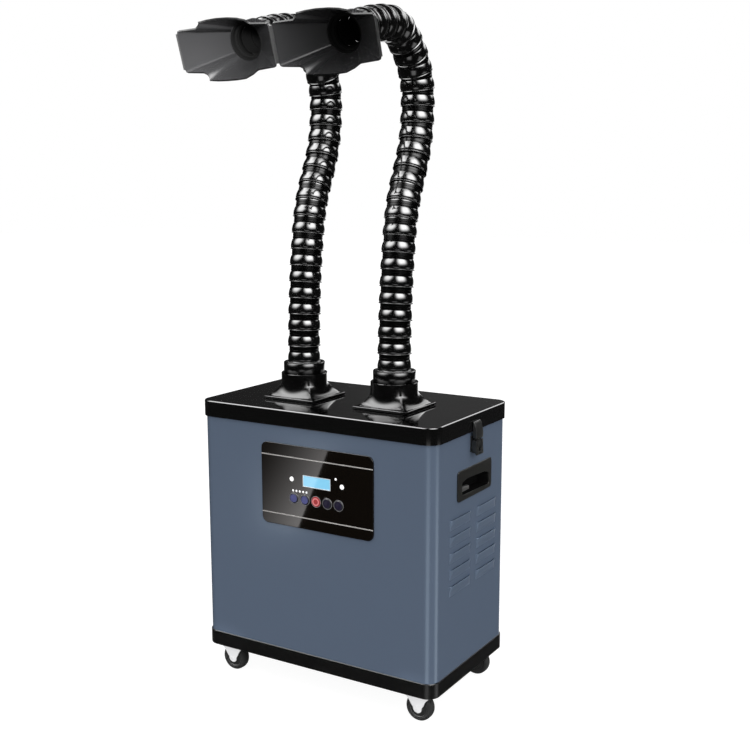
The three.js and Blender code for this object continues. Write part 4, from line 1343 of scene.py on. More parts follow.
    def throat_ring(self, side: Side) -> Piece:
        """Turn the soft ring that sits in the throat, with the cuff behind it; both wear the dull black of
        painted shade.

        Args:
            side: Which arm.

        Returns:
            The ring in the hood's own frame.
        """
        radius, cuff = self.throat_radius - 0.05, self.step_radius - 0.1
        steps = [(radius, 23.5), (radius, 28.6), (radius - 0.6, 29.6), (radius - 1.7, 29.9),
                 (radius - 2.6, 29.0), (radius - 2.9, 27.4), (radius - 3.1, 24.6), (cuff - 1.0, 23.2),
                 (cuff - 1.3, 21.4), (cuff - 1.5, 17.9), (self.bore + 0.4, 17.5), (self.bore + 0.2, 19.4),
                 (self.bore + 1.6, 22.0), (cuff, 22.4), (radius, 23.5)]
        return lathe(f"{side.word}_hood_throat_ring", steps, Vector(), 64, smooth=50)


# Panel


@dataclass
class Panel:
    """The gloss control panel with display, lights and buttons."""

    width: float = 231.0
    height: float = 147.0
    thick: float = 3.0
    corner: float = 12.0
    x: float = 10.7
    z: float = 385.5
    front: float = -137.0
    edge: float = 0.5
    screen_x: float = 11.8
    screen_z: float = 398.4
    screen_size: Pair = (57.4, 20.6)
    screen_sunk: float = 0.4
    screen_back: float = 10.4
    screen_frame: float = 0.9
    screen_step: Pair = (0.3, 0.25)
    lines: Pair = (437.0, 332.0)
    line_height: float = 1.9
    line_proud: float = 0.25
    line_sunk: float = 0.2
    line_short: float = 0.4
    line_edge: float = 0.15
    button_x: float = 10.8
    button_z: float = 364.8
    button_pitch: float = 23.2
    button_radius: float = 9.0
    proud: float = 1.4
    gap: float = 0.3
    button_gap: float = 0.6
    cap_rim: float = 0.78
    power_dot: float = 0.56
    side_light: Pair = (52.1, 4.3)
    small_light: Triple = (39.7, 12.0, 2.2)
    row_light: Triple = (-49.3, -20.2, 2.0)
    row_pitch: float = 7.05
    row_count: int = 5
    carrier_half: float = 59.0
    carrier_y: Pair = (0.3, 1.8)
    carrier_z: Pair = (-22.6, -14.5)

    @property
    def face(self) -> float:
        """Return y of the panel's outer face."""
        return self.front - self.thick

    def lights(self) -> list[Triple]:
        """Return x, z and radius of every indicator light."""
        away, big = self.side_light
        lights = [(self.screen_x - away, self.screen_z, big), (self.screen_x + away, self.screen_z, big)]
        x, z, small = self.small_light
        lights.append((self.screen_x + x, self.screen_z + z, small))
        x, z, radius = self.row_light
        return lights + [(self.screen_x + x + step * self.row_pitch, self.screen_z + z, radius)
                         for step in range(self.row_count)]

    def button_places(self) -> list[float]:
        """Return x of the five buttons."""
        return [self.button_x + step * self.button_pitch for step in (-2, -1, 0, 1, 2)]

    def build(self) -> None:
        """Build the panel and everything on it."""
        self.fascia()
        self.trim()
        self.display()
        self.light_dots()
        self.buttons()

    def fascia(self) -> None:
        """Build the gloss plate with its openings."""
        shape = [at(self.x + x, self.front, self.z + z) for x, z in
                 round_rectangle(self.width, self.height, self.corner, 12)]
        work = plate("panel_fascia_gloss", shape, Vector((0, -self.thick * MM, 0)))
        face = self.face * MM + CENTRE_Y
        work.pick(Element.EDGE, lambda co, _: abs(co.y - face) < TINY).bevel(self.edge * MM, 3)
        fascia = work.done(30)
        half_x, half_z = self.screen_size[0] / 2 + self.gap, self.screen_size[1] / 2 + self.gap
        cutters = [box_cut(at(self.screen_x - half_x, self.face - 2, self.screen_z - half_z),
                           at(self.screen_x + half_x, self.front + 2, self.screen_z + half_z))]
        through = (-2, 2 * self.thick)
        for x, z, radius in self.lights():
            cutters.append(rod("cut", radius + self.gap, through, at(x, self.face, z), 32, Axis.Y))
        for x in self.button_places():
            cutters.append(rod("cut", self.button_radius + self.button_gap, through,
                               at(x, self.face, self.button_z), 48, Axis.Y))
        settle(carve(fascia, weld("cutters", cutters)))
        mount(dress(fascia, PANEL_GLASS), "cabinet", "panel_black", "panel_fascia")

    def trim(self) -> None:
        """Lay the two pale lines across the panel."""
        for name, z in zip(("upper", "lower"), self.lines):
            half = self.width / 2 - self.line_short
            low, high = z - self.line_height / 2, z + self.line_height / 2
            work = Work.block(f"panel_line_{name}", at(self.x - half, self.face - self.line_proud, low),
                              at(self.x + half, self.face + self.line_sunk, high))
            face = (self.face - self.line_proud) * MM + CENTRE_Y
            work.pick(Element.EDGE, lambda co, _: abs(co.y - face) < TINY).bevel(self.line_edge * MM, 2)
            mount(dress(work.done(30), PANEL_TRIM), "cabinet", "panel_black")

    def display(self) -> None:
        """Build the display: a deep block with a pale edge round its sunk glass."""
        half_x, half_z = self.screen_size[0] / 2, self.screen_size[1] / 2
        low = at(self.screen_x - half_x, self.face + self.screen_sunk, self.screen_z - half_z)
        high = at(self.screen_x + half_x, self.front + self.screen_back, self.screen_z + half_z)
        work = Work.block("display_glass", low, high)
        work.pick(Element.FACE, lambda _, way: way.y < -ALONG).inset(self.screen_frame * MM)
        width, depth = self.screen_step
        work.inset(width * MM, -depth * MM)
        display = work.done(30)
        dress(display, DISPLAY_EDGE, DISPLAY_BLUE)
        inner = (half_x - 1.0) * MM
        paint_faces(display, 1, lambda co, way: way.y < -ALONG and
                    abs(co.x - self.screen_x * MM) < inner * 0.5 and
                    abs(co.z - self.screen_z * MM) < half_z * MM * 0.5)
        mount(display, "cabinet", "screen_blue", "display_screen")

    def light_dots(self) -> None:
        """Turn the eight domed lights on their carrier."""
        half, (back, out), (low, high) = self.carrier_half, self.carrier_y, self.carrier_z
        parts = [Work.block("carrier", at(self.screen_x - half, self.front + back, self.screen_z + low),
                            at(self.screen_x + half, self.front + out, self.screen_z + high)).done(None)]
        for x, z, radius in self.lights():
            steps = [(radius, 3.6), (radius, 0.4), (radius * 0.86, 0.0), (radius * 0.5, -0.25),
                     (radius * 0.05, -0.3)]
            parts.append(lathe("dot", steps, at(x, self.face, z), 32, Axis.Y, 60))
        lights = dress(weld("indicator_lights", parts), LIGHT_WHITE)
        mount(lights, "cabinet", "guide_white", "indicator_light_guide")

    def buttons(self) -> None:
        """Turn the five buttons and the rings round them."""
        names = ("minus", "plus", "power", "speed", "timer")
        slots = ("button_violet", "button_violet", "button_red", "button_navy", "button_navy")
        violet, night = ((BUTTON_DARK, BUTTON_DARK, centre) for centre in (BUTTON_VIOLET, BUTTON_NIGHT))
        looks = (violet, violet, (BUTTON_RED, BUTTON_PALE, BUTTON_RED), night, night)
        for name, slot, look, x in zip(names, slots, looks, self.button_places()):
            base = at(x, self.face, self.button_z)
            radius = self.button_radius
            ring = lathe(f"button_{name}_ring", [
                (radius + 0.25, 0.4), (radius + 0.25, -0.35), (radius + 0.45, -0.6), (radius + 0.95, -0.6),
                (radius + 1.15, -0.35), (radius + 1.15, 0.4), (radius + 0.25, 0.4)], base, 64, Axis.Y, 60)
            mount(dress(ring, BUTTON_RING), "cabinet", "panel_black")
            cap = lathe(f"button_{name}_cap", [
                (3.0, 10.0), (3.0, 4.8), (10.2, 4.8), (10.2, 3.3), (radius, 3.3), (radius, -0.2),
                (radius - 0.4, -0.9), (radius - 1.2, -1.3), (radius * self.cap_rim, -self.proud),
                (radius * 0.72, -self.proud + 0.1), (radius * 0.5, -self.proud + 0.2),
                (radius * 0.44, -self.proud + 0.1), (radius * 0.2, -self.proud)], base, 64, Axis.Y, 50)
            dress(cap, *look)
            dot = self.power_dot if name == "power" else self.cap_rim
            for number, share in enumerate((self.cap_rim, dot), 1):
                reach = radius * share * MM
                paint_faces(cap, number, lambda co, way: way.y < -0.5 and (co - base).xz.length < reach)
            mount(cap, f"button_{name}", slot, f"button_{name}")


# Side fittings


@dataclass
class Grip:
    """The recessed handle of the right wall."""

    y: float = Cabinet.grip_y
    z: float = Cabinet.grip_z
    width: float = 128.0
    height: float = 53.0
    corner: float = 6.0
    wall_x: float = 240.3
    thick: float = 2.5
    depth: float = 21.0
    taper: Pair = (0.94, 0.9)
    cup_half: Pair = (55.0, 21.5)
    bar_x: Pair = (-13.0, -5.5)
    bar_y: Pair = (-48.0, -8.0)
    bar_z: Pair = (-15.5, -8.5)
    bar_edge: float = 3.2
    edge: float = 0.8

    def pocket(self) -> list[Pair]:
        """Return the pocket's outline on the wall, anticlockwise seen from outside."""
        return [(-49.2, -17.2), (52.0, -20.0), (54.8, -17.8), (54.2, -1.0), (52.6, 1.4), (40.5, 5.4),
                (37.0, 6.2), (-27.0, 9.3), (-32.5, 8.9), (-47.6, 5.6), (-49.6, 3.2)]

    def build(self) -> None:
        """Build both handles."""
        shape = [at(self.wall_x, self.y + y, self.z + z) for y, z in
                 round_rectangle(self.width, self.height, self.corner, 8)]
        work = plate("handle_right_moulded", shape, Vector((self.thick * MM, 0, 0)))
        face = (self.wall_x + self.thick) * MM
        work.pick(Element.EDGE, lambda co, _: abs(co.x - face) < TINY).bevel(self.edge * MM, 3)
        bezel = work.done(30)
        half_y, half_z = self.cup_half
        cup = Work.block("cup", at(self.wall_x - self.depth - 2, self.y - half_y, self.z - half_z),
                         at(self.wall_x + 1, self.y + half_y, self.z + half_z)).done(30)
        hollow = [at(self.wall_x + self.thick + 2, self.y + y, self.z + z) for y, z in self.pocket()]
        work = plate("cut", hollow, Vector((-(self.depth + self.thick) * MM, 0, 0)))
        work.resize((1, *self.taper), at(0, self.y, self.z - 6))
        cutter = work.done(None)
        second = copy_of(cutter, "cut", Matrix.Identity(4))
        handle = weld("handle_right_moulded", [carve(bezel, cutter), carve(cup, second)])
        settle(chamfer(handle, 0.5, 2, 50), 35)
        low, high = (at(self.wall_x + self.bar_x[end], self.y + self.bar_y[end], self.z + self.bar_z[end])
                     for end in (0, 1))
        bar = Work.block("bar", low, high)
        bar.pick(Element.EDGE, lambda co, way: abs(way.y) > ALONG and co.z > high.z - TINY)
        lip = bar.bevel(self.bar_edge * MM, 6).done(30)
        dress(handle, HANDLE_GREY, POCKET_PAINTED_SHADE)
        sunk = (self.wall_x - 0.6) * MM
        # The faces sunk into the pocket take the darker grey: painted shade in the recess.
        paint_faces(handle, 1, lambda co, _: co.x < sunk)
        # The lip bar takes the light grey: a painted highlight.
        handle = weld("handle_right_moulded", [handle, dress(lip, POCKET_LIP_PAINTED_HIGHLIGHT)])
        other = mirrored(handle, "handle_left_moulded")
        mount(handle, "cabinet", "dark_grey", "handle_right")
        mount(other, "cabinet", "dark_grey", "handle_left")


@dataclass
class Latch:
    """The draw latch of the right wall: a channel for a lever and a curved hook above it."""

    y: float = 3.0
    half: float = 12.7
    pivot_x: float = 246.5
    pivot_z: float = 474.0
    link: float = 9.0
    outer: float = 252.2
    inner: float = 243.3
    sheet: float = 2.2
    foot: float = 450.0
    lever_top: float = 475.0
    hook_low: float = 477.4
    hook_top: float = 508.0
    tail_half: float = 3.5
    slot_half: float = 3.9
    slot_drop: float = 10.2
    pin: float = 1.9
    hook_inner: float = 244.3
    hook_depth: float = 2.6

    def slab(self, name: str, outline: Sequence[Pair], half: float) -> Work:
        """Start a piece from its side view.

        Args:
            name: Name of the piece.
            outline: Points x and z.
            half: Half of its width along y.

        Returns:
            The piece on the bench.
        """
        shape = [at(x, self.y + half, z) for x, z in outline]
        return plate(name, shape, Vector((0, -2 * half * MM, 0)))

    def lever(self) -> Piece:
        """Build the lever: a channel closed by its face, with a slot for the hook's tail."""
        face = self.outer
        work = self.slab("latch_lever_right_moulded", [
            (self.inner, self.foot + 4), (face - 3.2, self.foot + 3.4), (face - 1.2, self.foot),
            (face + 1.4, self.foot), (face + 0.5, self.foot + 4), (face, self.foot + 9),
            (face, self.lever_top), (self.inner, self.lever_top)], self.half)
        back = self.inner * MM
        work.pick(Element.FACE, lambda co, way: way.x < -ALONG and co.x < back + TINY)
        work.inset(self.sheet * MM)
        work.extrude(Vector(((face - self.inner - self.sheet) * MM, 0, 0)))
        channel = work.done(None)
        slot_foot = self.pivot_z - self.link - self.slot_drop
        carve(channel, box_cut(at(self.inner - 1, self.y - self.slot_half, slot_foot),
                               at(face + 3, self.y + self.slot_half, self.lever_top + 1)))
        soften(chamfer(channel, 0.5, 2, 40), 40)
        reach = self.half - self.sheet / 2
        pins = [rod("pin", self.pin, (-reach, reach), at(self.pivot_x, self.y, z), axis=Axis.Y)
                for z in (self.pivot_z, self.pivot_z - self.link)]
        return weld("latch_lever_right_moulded", [channel, *pins])

    def hook(self) -> Piece:
        """Build the hook: a curved channel over the lid's edge, with a tail down to the lever's lower pin."""
        face, low, top, back = self.outer, self.hook_low, self.hook_top, self.hook_inner
        work = self.slab("latch_hook_right_moulded", [
            (face - 2.6, low), (face, low), (face, low + 9), (face - 0.5, low + 14), (face - 1.4, low + 19),
            (face - 2.7, low + 23.6), (face - 4.2, low + 27.2), (face - 5.6, low + 29.8), (face - 6.6, top),
            (back, top - 0.6), (back, low + 2.4), (face - 2.6, low + 2.4)], self.half)
        work.pick(Element.FACE, lambda co, way: way.x < -ALONG and co.x < back * MM + TINY)
        work.inset(self.sheet * MM)
        work.extrude(Vector((self.hook_depth * MM, 0, 0)))
        shell = work.done(None)
        soften(chamfer(shell, 0.7, 3, 50), 40)
        x, z = self.pivot_x, self.pivot_z - self.link
        reach = face - 0.1 - x
        knuckle = [(x + reach * math.cos(turn), z + reach * math.sin(turn))
                   for turn in map(math.radians, range(-60, 1, 12))]
        tail = self.slab("tail", [
            (x + 1.0, z - 3.1), *knuckle, (x + reach, low + 1), (face - 2.5, low + 1), (face - 2.5, z + 11),
            (x + 2.6, z + 5.2), (x - 2.0, z + 2.6), (x - 3.2, z), (x - 2.0, z - 2.6)],
            self.tail_half).done(None)
        carve(tail, rod("cut", self.pin + 0.3, (-9, 9), at(x, self.y, z), axis=Axis.Y))
        soften(tail, 35)
        return weld("latch_hook_right_moulded", [shell, tail])

    def build(self) -> None:
        """Build lever and hook for both sides, and finish the bases."""
        for part, piece in (("lever", self.lever()), ("hook", self.hook())):
            dress(piece, LATCH_GREY)
            other = mirrored(piece, piece.name.replace("right", "left"))
            for side, made in (("right", piece), ("left", other)):
                mount(made, f"latch_{part}_{side}", "dark_grey", f"latch_{part}_{side}")
        for side in Side:
            dress_node(f"latch_base_{side.word}", LATCH_GREY)


# Casters


@dataclass
class Caster:
    """A swivel caster: pressed fork and wheel."""

    names: tuple[str, ...] = ("front_left", "front_right", "rear_left", "rear_right")
    stem_x: float = BaseTray.stem_x
    stem_y: float = BaseTray.stem_y
    crown_low: float = 49.8
    crown: float = 1.6
    head: float = 25.0
    trail: float = 2.0
    axle_z: float = 24.8
    cheek_in: float = 10.0
    sheet: float = 2.0
    tip: float = 8.4
    wheel: float = 24.8
    wheel_half: float = 9.0

    def cheek_outline(self) -> list[Pair]:
        """Return half of the pressed cheek, mirrored to both sides, as x from the trail line and z."""
        high = self.crown_low + self.crown
        right = [(self.head, high), (self.head - 0.2, high - 1.6), (self.head - 0.8, high - 3.6),
                 (23.4, high - 5.6), (21.6, high - 7.4), (19.6, high - 9.2), (17.6, high - 11.2),
                 (15.8, high - 13.6), (14.2, high - 16.4), (12.6, high - 19.4), (10.8, high - 22.4),
                 (self.tip + 0.4, self.axle_z + 1.8)]
        tip = [(self.tip * math.cos(turn), self.axle_z + self.tip * math.sin(turn))
               for turn in map(math.radians, range(0, -181, -15))]
        left = [(-x, z) for x, z in reversed(right)]
        return right + tip + left

    def build(self) -> None:
        """Build the four casters from one fork and one wheel."""
        fork, wheel = self.fork(), self.rolling_wheel()
        places = [(-1, -1), (1, -1), (-1, 1), (1, 1)]
        for name, (way_x, way_y) in zip(self.names, places):
            move = Matrix.Translation(at(way_x * self.stem_x, way_y * self.stem_y, 0))
            made = copy_of(fork, f"caster_fork_{name}_pressed", move)
            mount(made, f"caster_fork_{name}", "fork_steel", f"caster_fork_{name}")
            made = copy_of(wheel, f"caster_wheel_{name}_moulded", move)
            mount(made, f"caster_wheel_{name}", "tyre_black", f"caster_wheel_{name}")
            dress_node(f"caster_plate_{name}", ZINC)
        bpy.data.objects.remove(fork)
        bpy.data.objects.remove(wheel)

    def fork(self) -> Piece:
        """Press one fork about the stem's axis.

        Returns:
            The fork at the scene's origin.
        """
        side_out = self.cheek_in + self.sheet
        high = self.crown_low + self.crown
        crown = Work.block("crown", Vector((-self.head, -side_out, self.crown_low)) * MM,
                           Vector((self.head, side_out, high)) * MM)
        crown.pick(Element.EDGE, lambda co, way: co.z > (high - 0.1) * MM).bevel(0.7 * MM, 3)
        parts = [crown.done(30)]
        for way in (-1, 1):
            shape = []
            for x, z in self.cheek_outline():
                trail = self.trail * (1 - (z - self.axle_z) / (high - self.axle_z))
                shape.append(Vector((x + trail, way * self.cheek_in, z)) * MM)
            work = plate("cheek", shape, Vector((0, way * self.sheet * MM, 0)))
            work.inset(1.5 * MM)
            work.inset(0.5 * MM, -0.55 * MM)
            outer = way * side_out * MM
            parts.append(chamfer(work.done(None), 0.45, 2, 40))
            soften(parts[-1], 40)
            steps = [(3.6, 0.0), (3.6, way * 0.9), (3.0, way * 1.3), (1.2, way * 1.5)]
            spot = Vector((self.trail * MM, outer - way * 0.3 * MM, self.axle_z * MM))
            parts.append(lathe("axle_head", steps, spot, 24, Axis.Y))
        parts.append(rod("axle", 3.0, (-side_out + 0.4, side_out - 0.4),
                         Vector((self.trail, 0, self.axle_z)) * MM, axis=Axis.Y))
        parts.append(lathe("stem", [(4.0, high - 0.5), (4.0, 67.2), (3.2, 68.0)], Vector(), 24))
        fork = dress(weld("fork", parts), FORK_STEEL, FORK_RIM_PAINTED_HIGHLIGHT)
        level = (side_out - 0.3) * MM
        # The outer rims take the lighter steel: a painted highlight that leaves the pressed recess darker.
        paint_faces(fork, 1, lambda co, way: abs(co.y) > level and abs(way.y) > 0.1)
        return fork

    def rolling_wheel(self) -> Piece:
        """Turn one wheel about its axle.

        Returns:
            The wheel at the scene's origin.
        """
        radius, half, bore = self.wheel, self.wheel_half, 3.3
        base = Vector((self.trail, 0, self.axle_z)) * MM
        near = [(bore, -9.5), (8.6, -9.5), (9.0, -9.1), (9.0, -8.2), (10.2, -7.6), (15.8, -7.6),
                (16.6, -8.4), (18.0, -half), (21.2, -half), (23.2, -7.9), (24.3, -6.0), (radius, -3.4)]
        far = [(reach, -height) for reach, height in reversed(near)]
        wheel = lathe("wheel", [*near, *far, near[0]], base, 64, Axis.Y, 40)
        dress(wheel, TYRE_BLACK, HUB_GREY)
        hub = 16.2 * MM
        paint_faces(wheel, 1, lambda co, _: (co - base).xz.length < hub)
        return wheel


# Inside


@dataclass
class Inside:
    """Filters, seal and the dressed nodes that the cabinet hides."""

    filter_half: Pair = (205.0, 116.0)
    shift_y: float = 12.0
    frame_width: float = 12.0
    frame_corner: float = 2.0
    folds: int = 64
    seal_width: float = 14.0
    seal_edge: float = 1.6

    def build(self) -> None:
        """Build the filters and the seal, and dress the rest."""
        self.cassette("hepa_carbon_filter", "pleated_filter", 355.3, 443.3, 12.0, FILTER_PAPER,
                      "filter_white")
        self.cassette("prefilter", "prefilter_mat", 443.6, 484.2, 6.0, PREFILTER_FOAM, "prefilter_grey")
        self.seal()
        for node, finish in (("filter_shelf", ZINC), ("fan_housing", ZINC), ("fan_motor", MOTOR_GREY),
                             ("fan_impeller", BLACK_PLASTIC), ("control_board", BOARD_GREEN),
                             ("power_inlet", BLACK_PLASTIC)):
            dress_node(node, finish)

    def cassette(self, node: str, name: str, low: float, high: float, recess: float, pack: Finish,
                 slot: str) -> None:
        """Build a filter: a card frame round a folded pack.

        Args:
            node: The node it replaces.
            name: Name of the piece.
            low: Its underside.
            high: Its top.
            recess: How far the pack lies below the frame.
            pack: Finish of the pack.
            slot: The record's material slot.
        """
        half_x, half_y = self.filter_half
        work = Work.block(name, at(-half_x, self.shift_y - half_y, low),
                          at(half_x, self.shift_y + half_y, high))
        work.round_uprights(self.frame_corner, 3)
        work.pick(Element.FACE, lambda _, way: way.z < -ALONG).inset(self.frame_width * MM)
        work.extrude(up(recess))
        work.pick(Element.FACE, lambda co, way: way.z > ALONG and co.z > (high - 1) * MM)
        work.inset(self.frame_width * MM)
        work.extrude(up(-recess))
        box = work.done(30)
        sheet = self.pleats(half_x - self.frame_width, half_y - self.frame_width, high - recess, recess * 0.8)
        filter_piece = weld(name, [box, sheet])
        dress(filter_piece, FRAME_CARD, pack)
        inner_x, inner_y = (half_x - self.frame_width + 0.1) * MM, (half_y - self.frame_width + 0.1) * MM
        paint_faces(filter_piece, 1, lambda co, way: abs(co.x) < inner_x and
                    abs(co.y - CENTRE_Y - self.shift_y * MM) < inner_y and abs(way.z) > 0.05)
        mount(filter_piece, "cabinet", slot, node)

    def pleats(self, half_x: float, half_y: float, floor: float, rise: float) -> Piece:
        """Fold a pleated sheet by lifting every other line of a subdivided strip.

        Args:
            half_x: Half length.
            half_y: Half width.
            floor: Height of the valleys.
            rise: Height of the folds.

        Returns:
            The sheet.
        """
        work = Work.block("pleats", at(-half_x, self.shift_y - half_y, floor - 1),
                          at(half_x, self.shift_y + half_y, floor))
        work.pick(Element.EDGE, lambda _, way: abs(way.x) > ALONG)
        bpy.ops.mesh.subdivide(number_cuts=self.folds - 1)
        pitch = 2 * half_x / self.folds
        top = floor * MM
        work.pick(Element.POINT, lambda co, _: abs(co.z - top) < TINY and
                  round((co.x / MM + half_x) / pitch) % 2 == 1)
        work.shift(up(rise))
        return work.done(30)

    def seal(self) -> None:
        """Build the soft ring under the lid, its lower edges rounded by the foam's own skin."""
        half_x, half_y = self.filter_half
        low, high = (corner.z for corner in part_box("lid_gasket"))
        front, rear = ((self.shift_y + way * half_y) * MM + CENTRE_Y for way in (-1, 1))
        work = Work.block("lid_seal_foam", Vector((-half_x * MM, front, low)),
                          Vector((half_x * MM, rear, high)))
        work.pick(Element.FACE, lambda _, way: abs(way.z) > ALONG).inset(self.seal_width * MM)
        middle = 50 * MM
        work.pick(Element.FACE, lambda co, way: abs(way.z) > ALONG and abs(co.x) < middle
                  and abs(co.y - CENTRE_Y) < middle)
        bpy.ops.mesh.bridge_edge_loops()
        work.pick(Element.EDGE, lambda co, _: co.z < low + TINY).bevel(self.seal_edge * MM, 4)
        mount(dress(work.done(40), SEAL_FOAM), "lid", "seal_black", "lid_gasket")


# Studio


@dataclass(frozen=True)
class SkyPanel:
    """A soft far-off light that only reflections see; angles in degrees, 0 in front, 90 on the right.

    A pinched panel narrows and slants below a height, by its pinch for each degree.
    """

    name: str
    bearing: float
    half_width: float
    side_fade: float
    low: float
    low_fade: float
    high: float
    high_fade: float
    strength: float
    pinch: float = 0.0
    pinch_below: float = 38.0


SKY_PANELS = (
    SkyPanel("left box", -41, 30, 17, 19, 12, 64, 16, 10.0, 0.9),
    SkyPanel("right box", 64, 30, 17, 19, 12, 64, 16, 13.0, -0.4),
    SkyPanel("rear left box", -98, 34, 8, 47, 4, 66, 4, 6.0),
    SkyPanel("rear right box", 175, 26, 6, 19, 3, 34, 3, 3.5),
    SkyPanel("zenith box", 0, 170, 5, 67, 2, 80, 2, 2.5),
    SkyPanel("back wall", 204, 9, 5, 2, 6, 16, 2, 0.05),
    SkyPanel("low rear box", 198, 20, 6, -24, 4, -3, 3, 1.9),
    SkyPanel("corner strip left", 21, 15, 7, -42, 4, -14.5, 1, 1.15),
    SkyPanel("corner strip right", 108, 15, 7, -42, 4, -14.5, 1, 1.15),
)


@dataclass(frozen=True)
class Beam:
    """A soft-edged beam at one spot, aimed in millimetres; its lamp's radius softens the shadows."""

    name: str
    aim: Triple
    bearing: float
    height: float
    reach: float
    cone: float
    watts: float
    edge: float
    lamp: float


BEAMS = (
    Beam("beam_hood", (-214, -150, 1094), 31, 4, 1.4, 13, 360, 1.0, 0.12),
    Beam("beam_caster_left", (-199, -120, 33), 10, 3, 1.2, 4.6, 26, 0.3, 0.03),
    Beam("beam_caster_right", (199, -120, 33), 10, 3, 1.2, 4.6, 26, 0.3, 0.03),
)


@dataclass
class Studio:
    """Camera, lights and floor."""

    lens: float = 53.636
    azimuth: float = 0.5482
    elevation: float = 0.1713
    roll: float = -0.0017
    camera_x: float = 1.06688
    camera_y: float = -1.67379
    camera_z: float = 0.90814
    key_bearing: float = 50.0
    key_lean: float = 0.34
    sky_level: float = 1.25
    ground_level: float = 0.4
    horizon: float = 12.0
    mirrored_dark: float = 0.03
    floor_size: float = 30
    floor_grey: float = 0.3
    floor_glow: float = 0.93
    card_top: Pair = (36.3, 458.9)
    card_foot: Pair = (-27.7, 312.3)
    card_out: float = 600
    card_rise_x: float = 0.79
    card_rise_z: float = 0.52
    card_power: float = 2.0
    card_bright: float = 3.7
    card_dark: float = 0.12

    def camera(self) -> None:
        """Set the camera where the photograph was taken from."""
        back = Vector((math.sin(self.azimuth) * math.cos(self.elevation),
                       -math.cos(self.azimuth) * math.cos(self.elevation), math.sin(self.elevation)))
        right = Vector((math.cos(self.azimuth), math.sin(self.azimuth), 0))
        up = back.cross(right)
        turned_right = math.cos(self.roll) * right + math.sin(self.roll) * up
        turned_up = -math.sin(self.roll) * right + math.cos(self.roll) * up
        clear_bench()
        bpy.ops.object.camera_add()
        camera = bpy.context.active_object
        camera.name = "camera"
        camera.data.lens = self.lens
        camera.data.sensor_width = 36.0
        place = Matrix((turned_right, turned_up, back)).transposed().to_4x4()
        place.translation = Vector((self.camera_x, self.camera_y + CENTRE_Y, self.camera_z))
        camera.matrix_world = place
        bpy.context.scene.camera = camera

    @staticmethod
    def shine(beam: Beam) -> None:
        """Point one beam at its spot."""
        turn, rise = math.radians(beam.bearing), math.radians(beam.height)
        way = Vector((math.sin(turn) * math.cos(rise), -math.cos(turn) * math.cos(rise), math.sin(rise)))
        aim = at(*beam.aim)
        spot = aim + beam.reach * way
        clear_bench()
        bpy.ops.object.light_add(type="SPOT", location=spot)
        light = bpy.context.active_object
        light.name = beam.name
        light.data.energy = beam.watts
        light.data.spot_size = math.radians(beam.cone)
        light.data.spot_blend = beam.edge
        light.data.shadow_soft_size = beam.lamp
        light.data.specular_factor = 0.0
        light.visible_glossy = False
        light.visible_camera = False
        light.rotation_euler = (spot - aim).to_track_quat("Z", "Y").to_euler()

    def world(self) -> None:
        """Light the scene evenly, white to the camera, dim with light panels in reflections."""
        world = bpy.data.worlds.new("studio")
        bpy.context.scene.world = world
        world.use_nodes = True
        world.cycles.sampling_method = "NONE"
        nodes, links = world.node_tree.nodes, world.node_tree.links
        rays = nodes.new("ShaderNodeLightPath")
        seen = nodes.new("ShaderNodeMixShader")
        mirrored_sky = nodes.new("ShaderNodeMixShader")
        backgrounds = {}
        for name in ("even", "dim", "white"):
            node = nodes.new("ShaderNodeBackground")
            node.inputs["Color"].default_value = (1, 1, 1, 1)
            backgrounds[name] = node
        backgrounds["white"].inputs["Strength"].default_value = 1.0
        mirrored_strength, even_strength = self.sky(nodes, links)
        links.new(mirrored_strength, backgrounds["dim"].inputs["Strength"])
        links.new(even_strength, backgrounds["even"].inputs["Strength"])
        links.new(rays.outputs["Is Glossy Ray"], mirrored_sky.inputs[0])
        links.new(backgrounds["even"].outputs[0], mirrored_sky.inputs[1])
        links.new(backgrounds["dim"].outputs[0], mirrored_sky.inputs[2])
        links.new(rays.outputs["Is Camera Ray"], seen.inputs[0])
        links.new(mirrored_sky.outputs[0], seen.inputs[1])
        links.new(backgrounds["white"].outputs[0], seen.inputs[2])
        links.new(seen.outputs[0], nodes["World Output"].inputs["Surface"])

    def sky(self, nodes: bpy.types.Nodes, links: bpy.types.NodeLinks) -> tuple[bpy.types.NodeSocket, ...]:
        """Lay out the sky's light as functions of a ray's direction.

        Args:
            nodes: The world's nodes.
            links: The world's links.

        Returns:
            The brightness that reflections see, and the one that falls on matt faces.
        """

        def maths(kind: str, *values: object) -> bpy.types.NodeSocket:
            """Add one maths node."""
            node = nodes.new("ShaderNodeMath")
            node.operation = kind
            for socket, value in zip(node.inputs, values):
                if isinstance(value, bpy.types.NodeSocket):
                    links.new(value, socket)
                else:
                    socket.default_value = value
            return node.outputs[0]

        def fade(value: bpy.types.NodeSocket, start: float, end: float) -> bpy.types.NodeSocket:
            """Go smoothly from 0 at the start to 1 at the end."""
            low, high = sorted((start, end))
            node = nodes.new("ShaderNodeMapRange")
            node.interpolation_type = "SMOOTHSTEP"
            for key, number in (("From Min", low), ("From Max", high), ("To Min", float(low != start)),
                                ("To Max", float(low == start))):
                node.inputs[key].default_value = number
            links.new(value, node.inputs["Value"])
            return node.outputs[0]

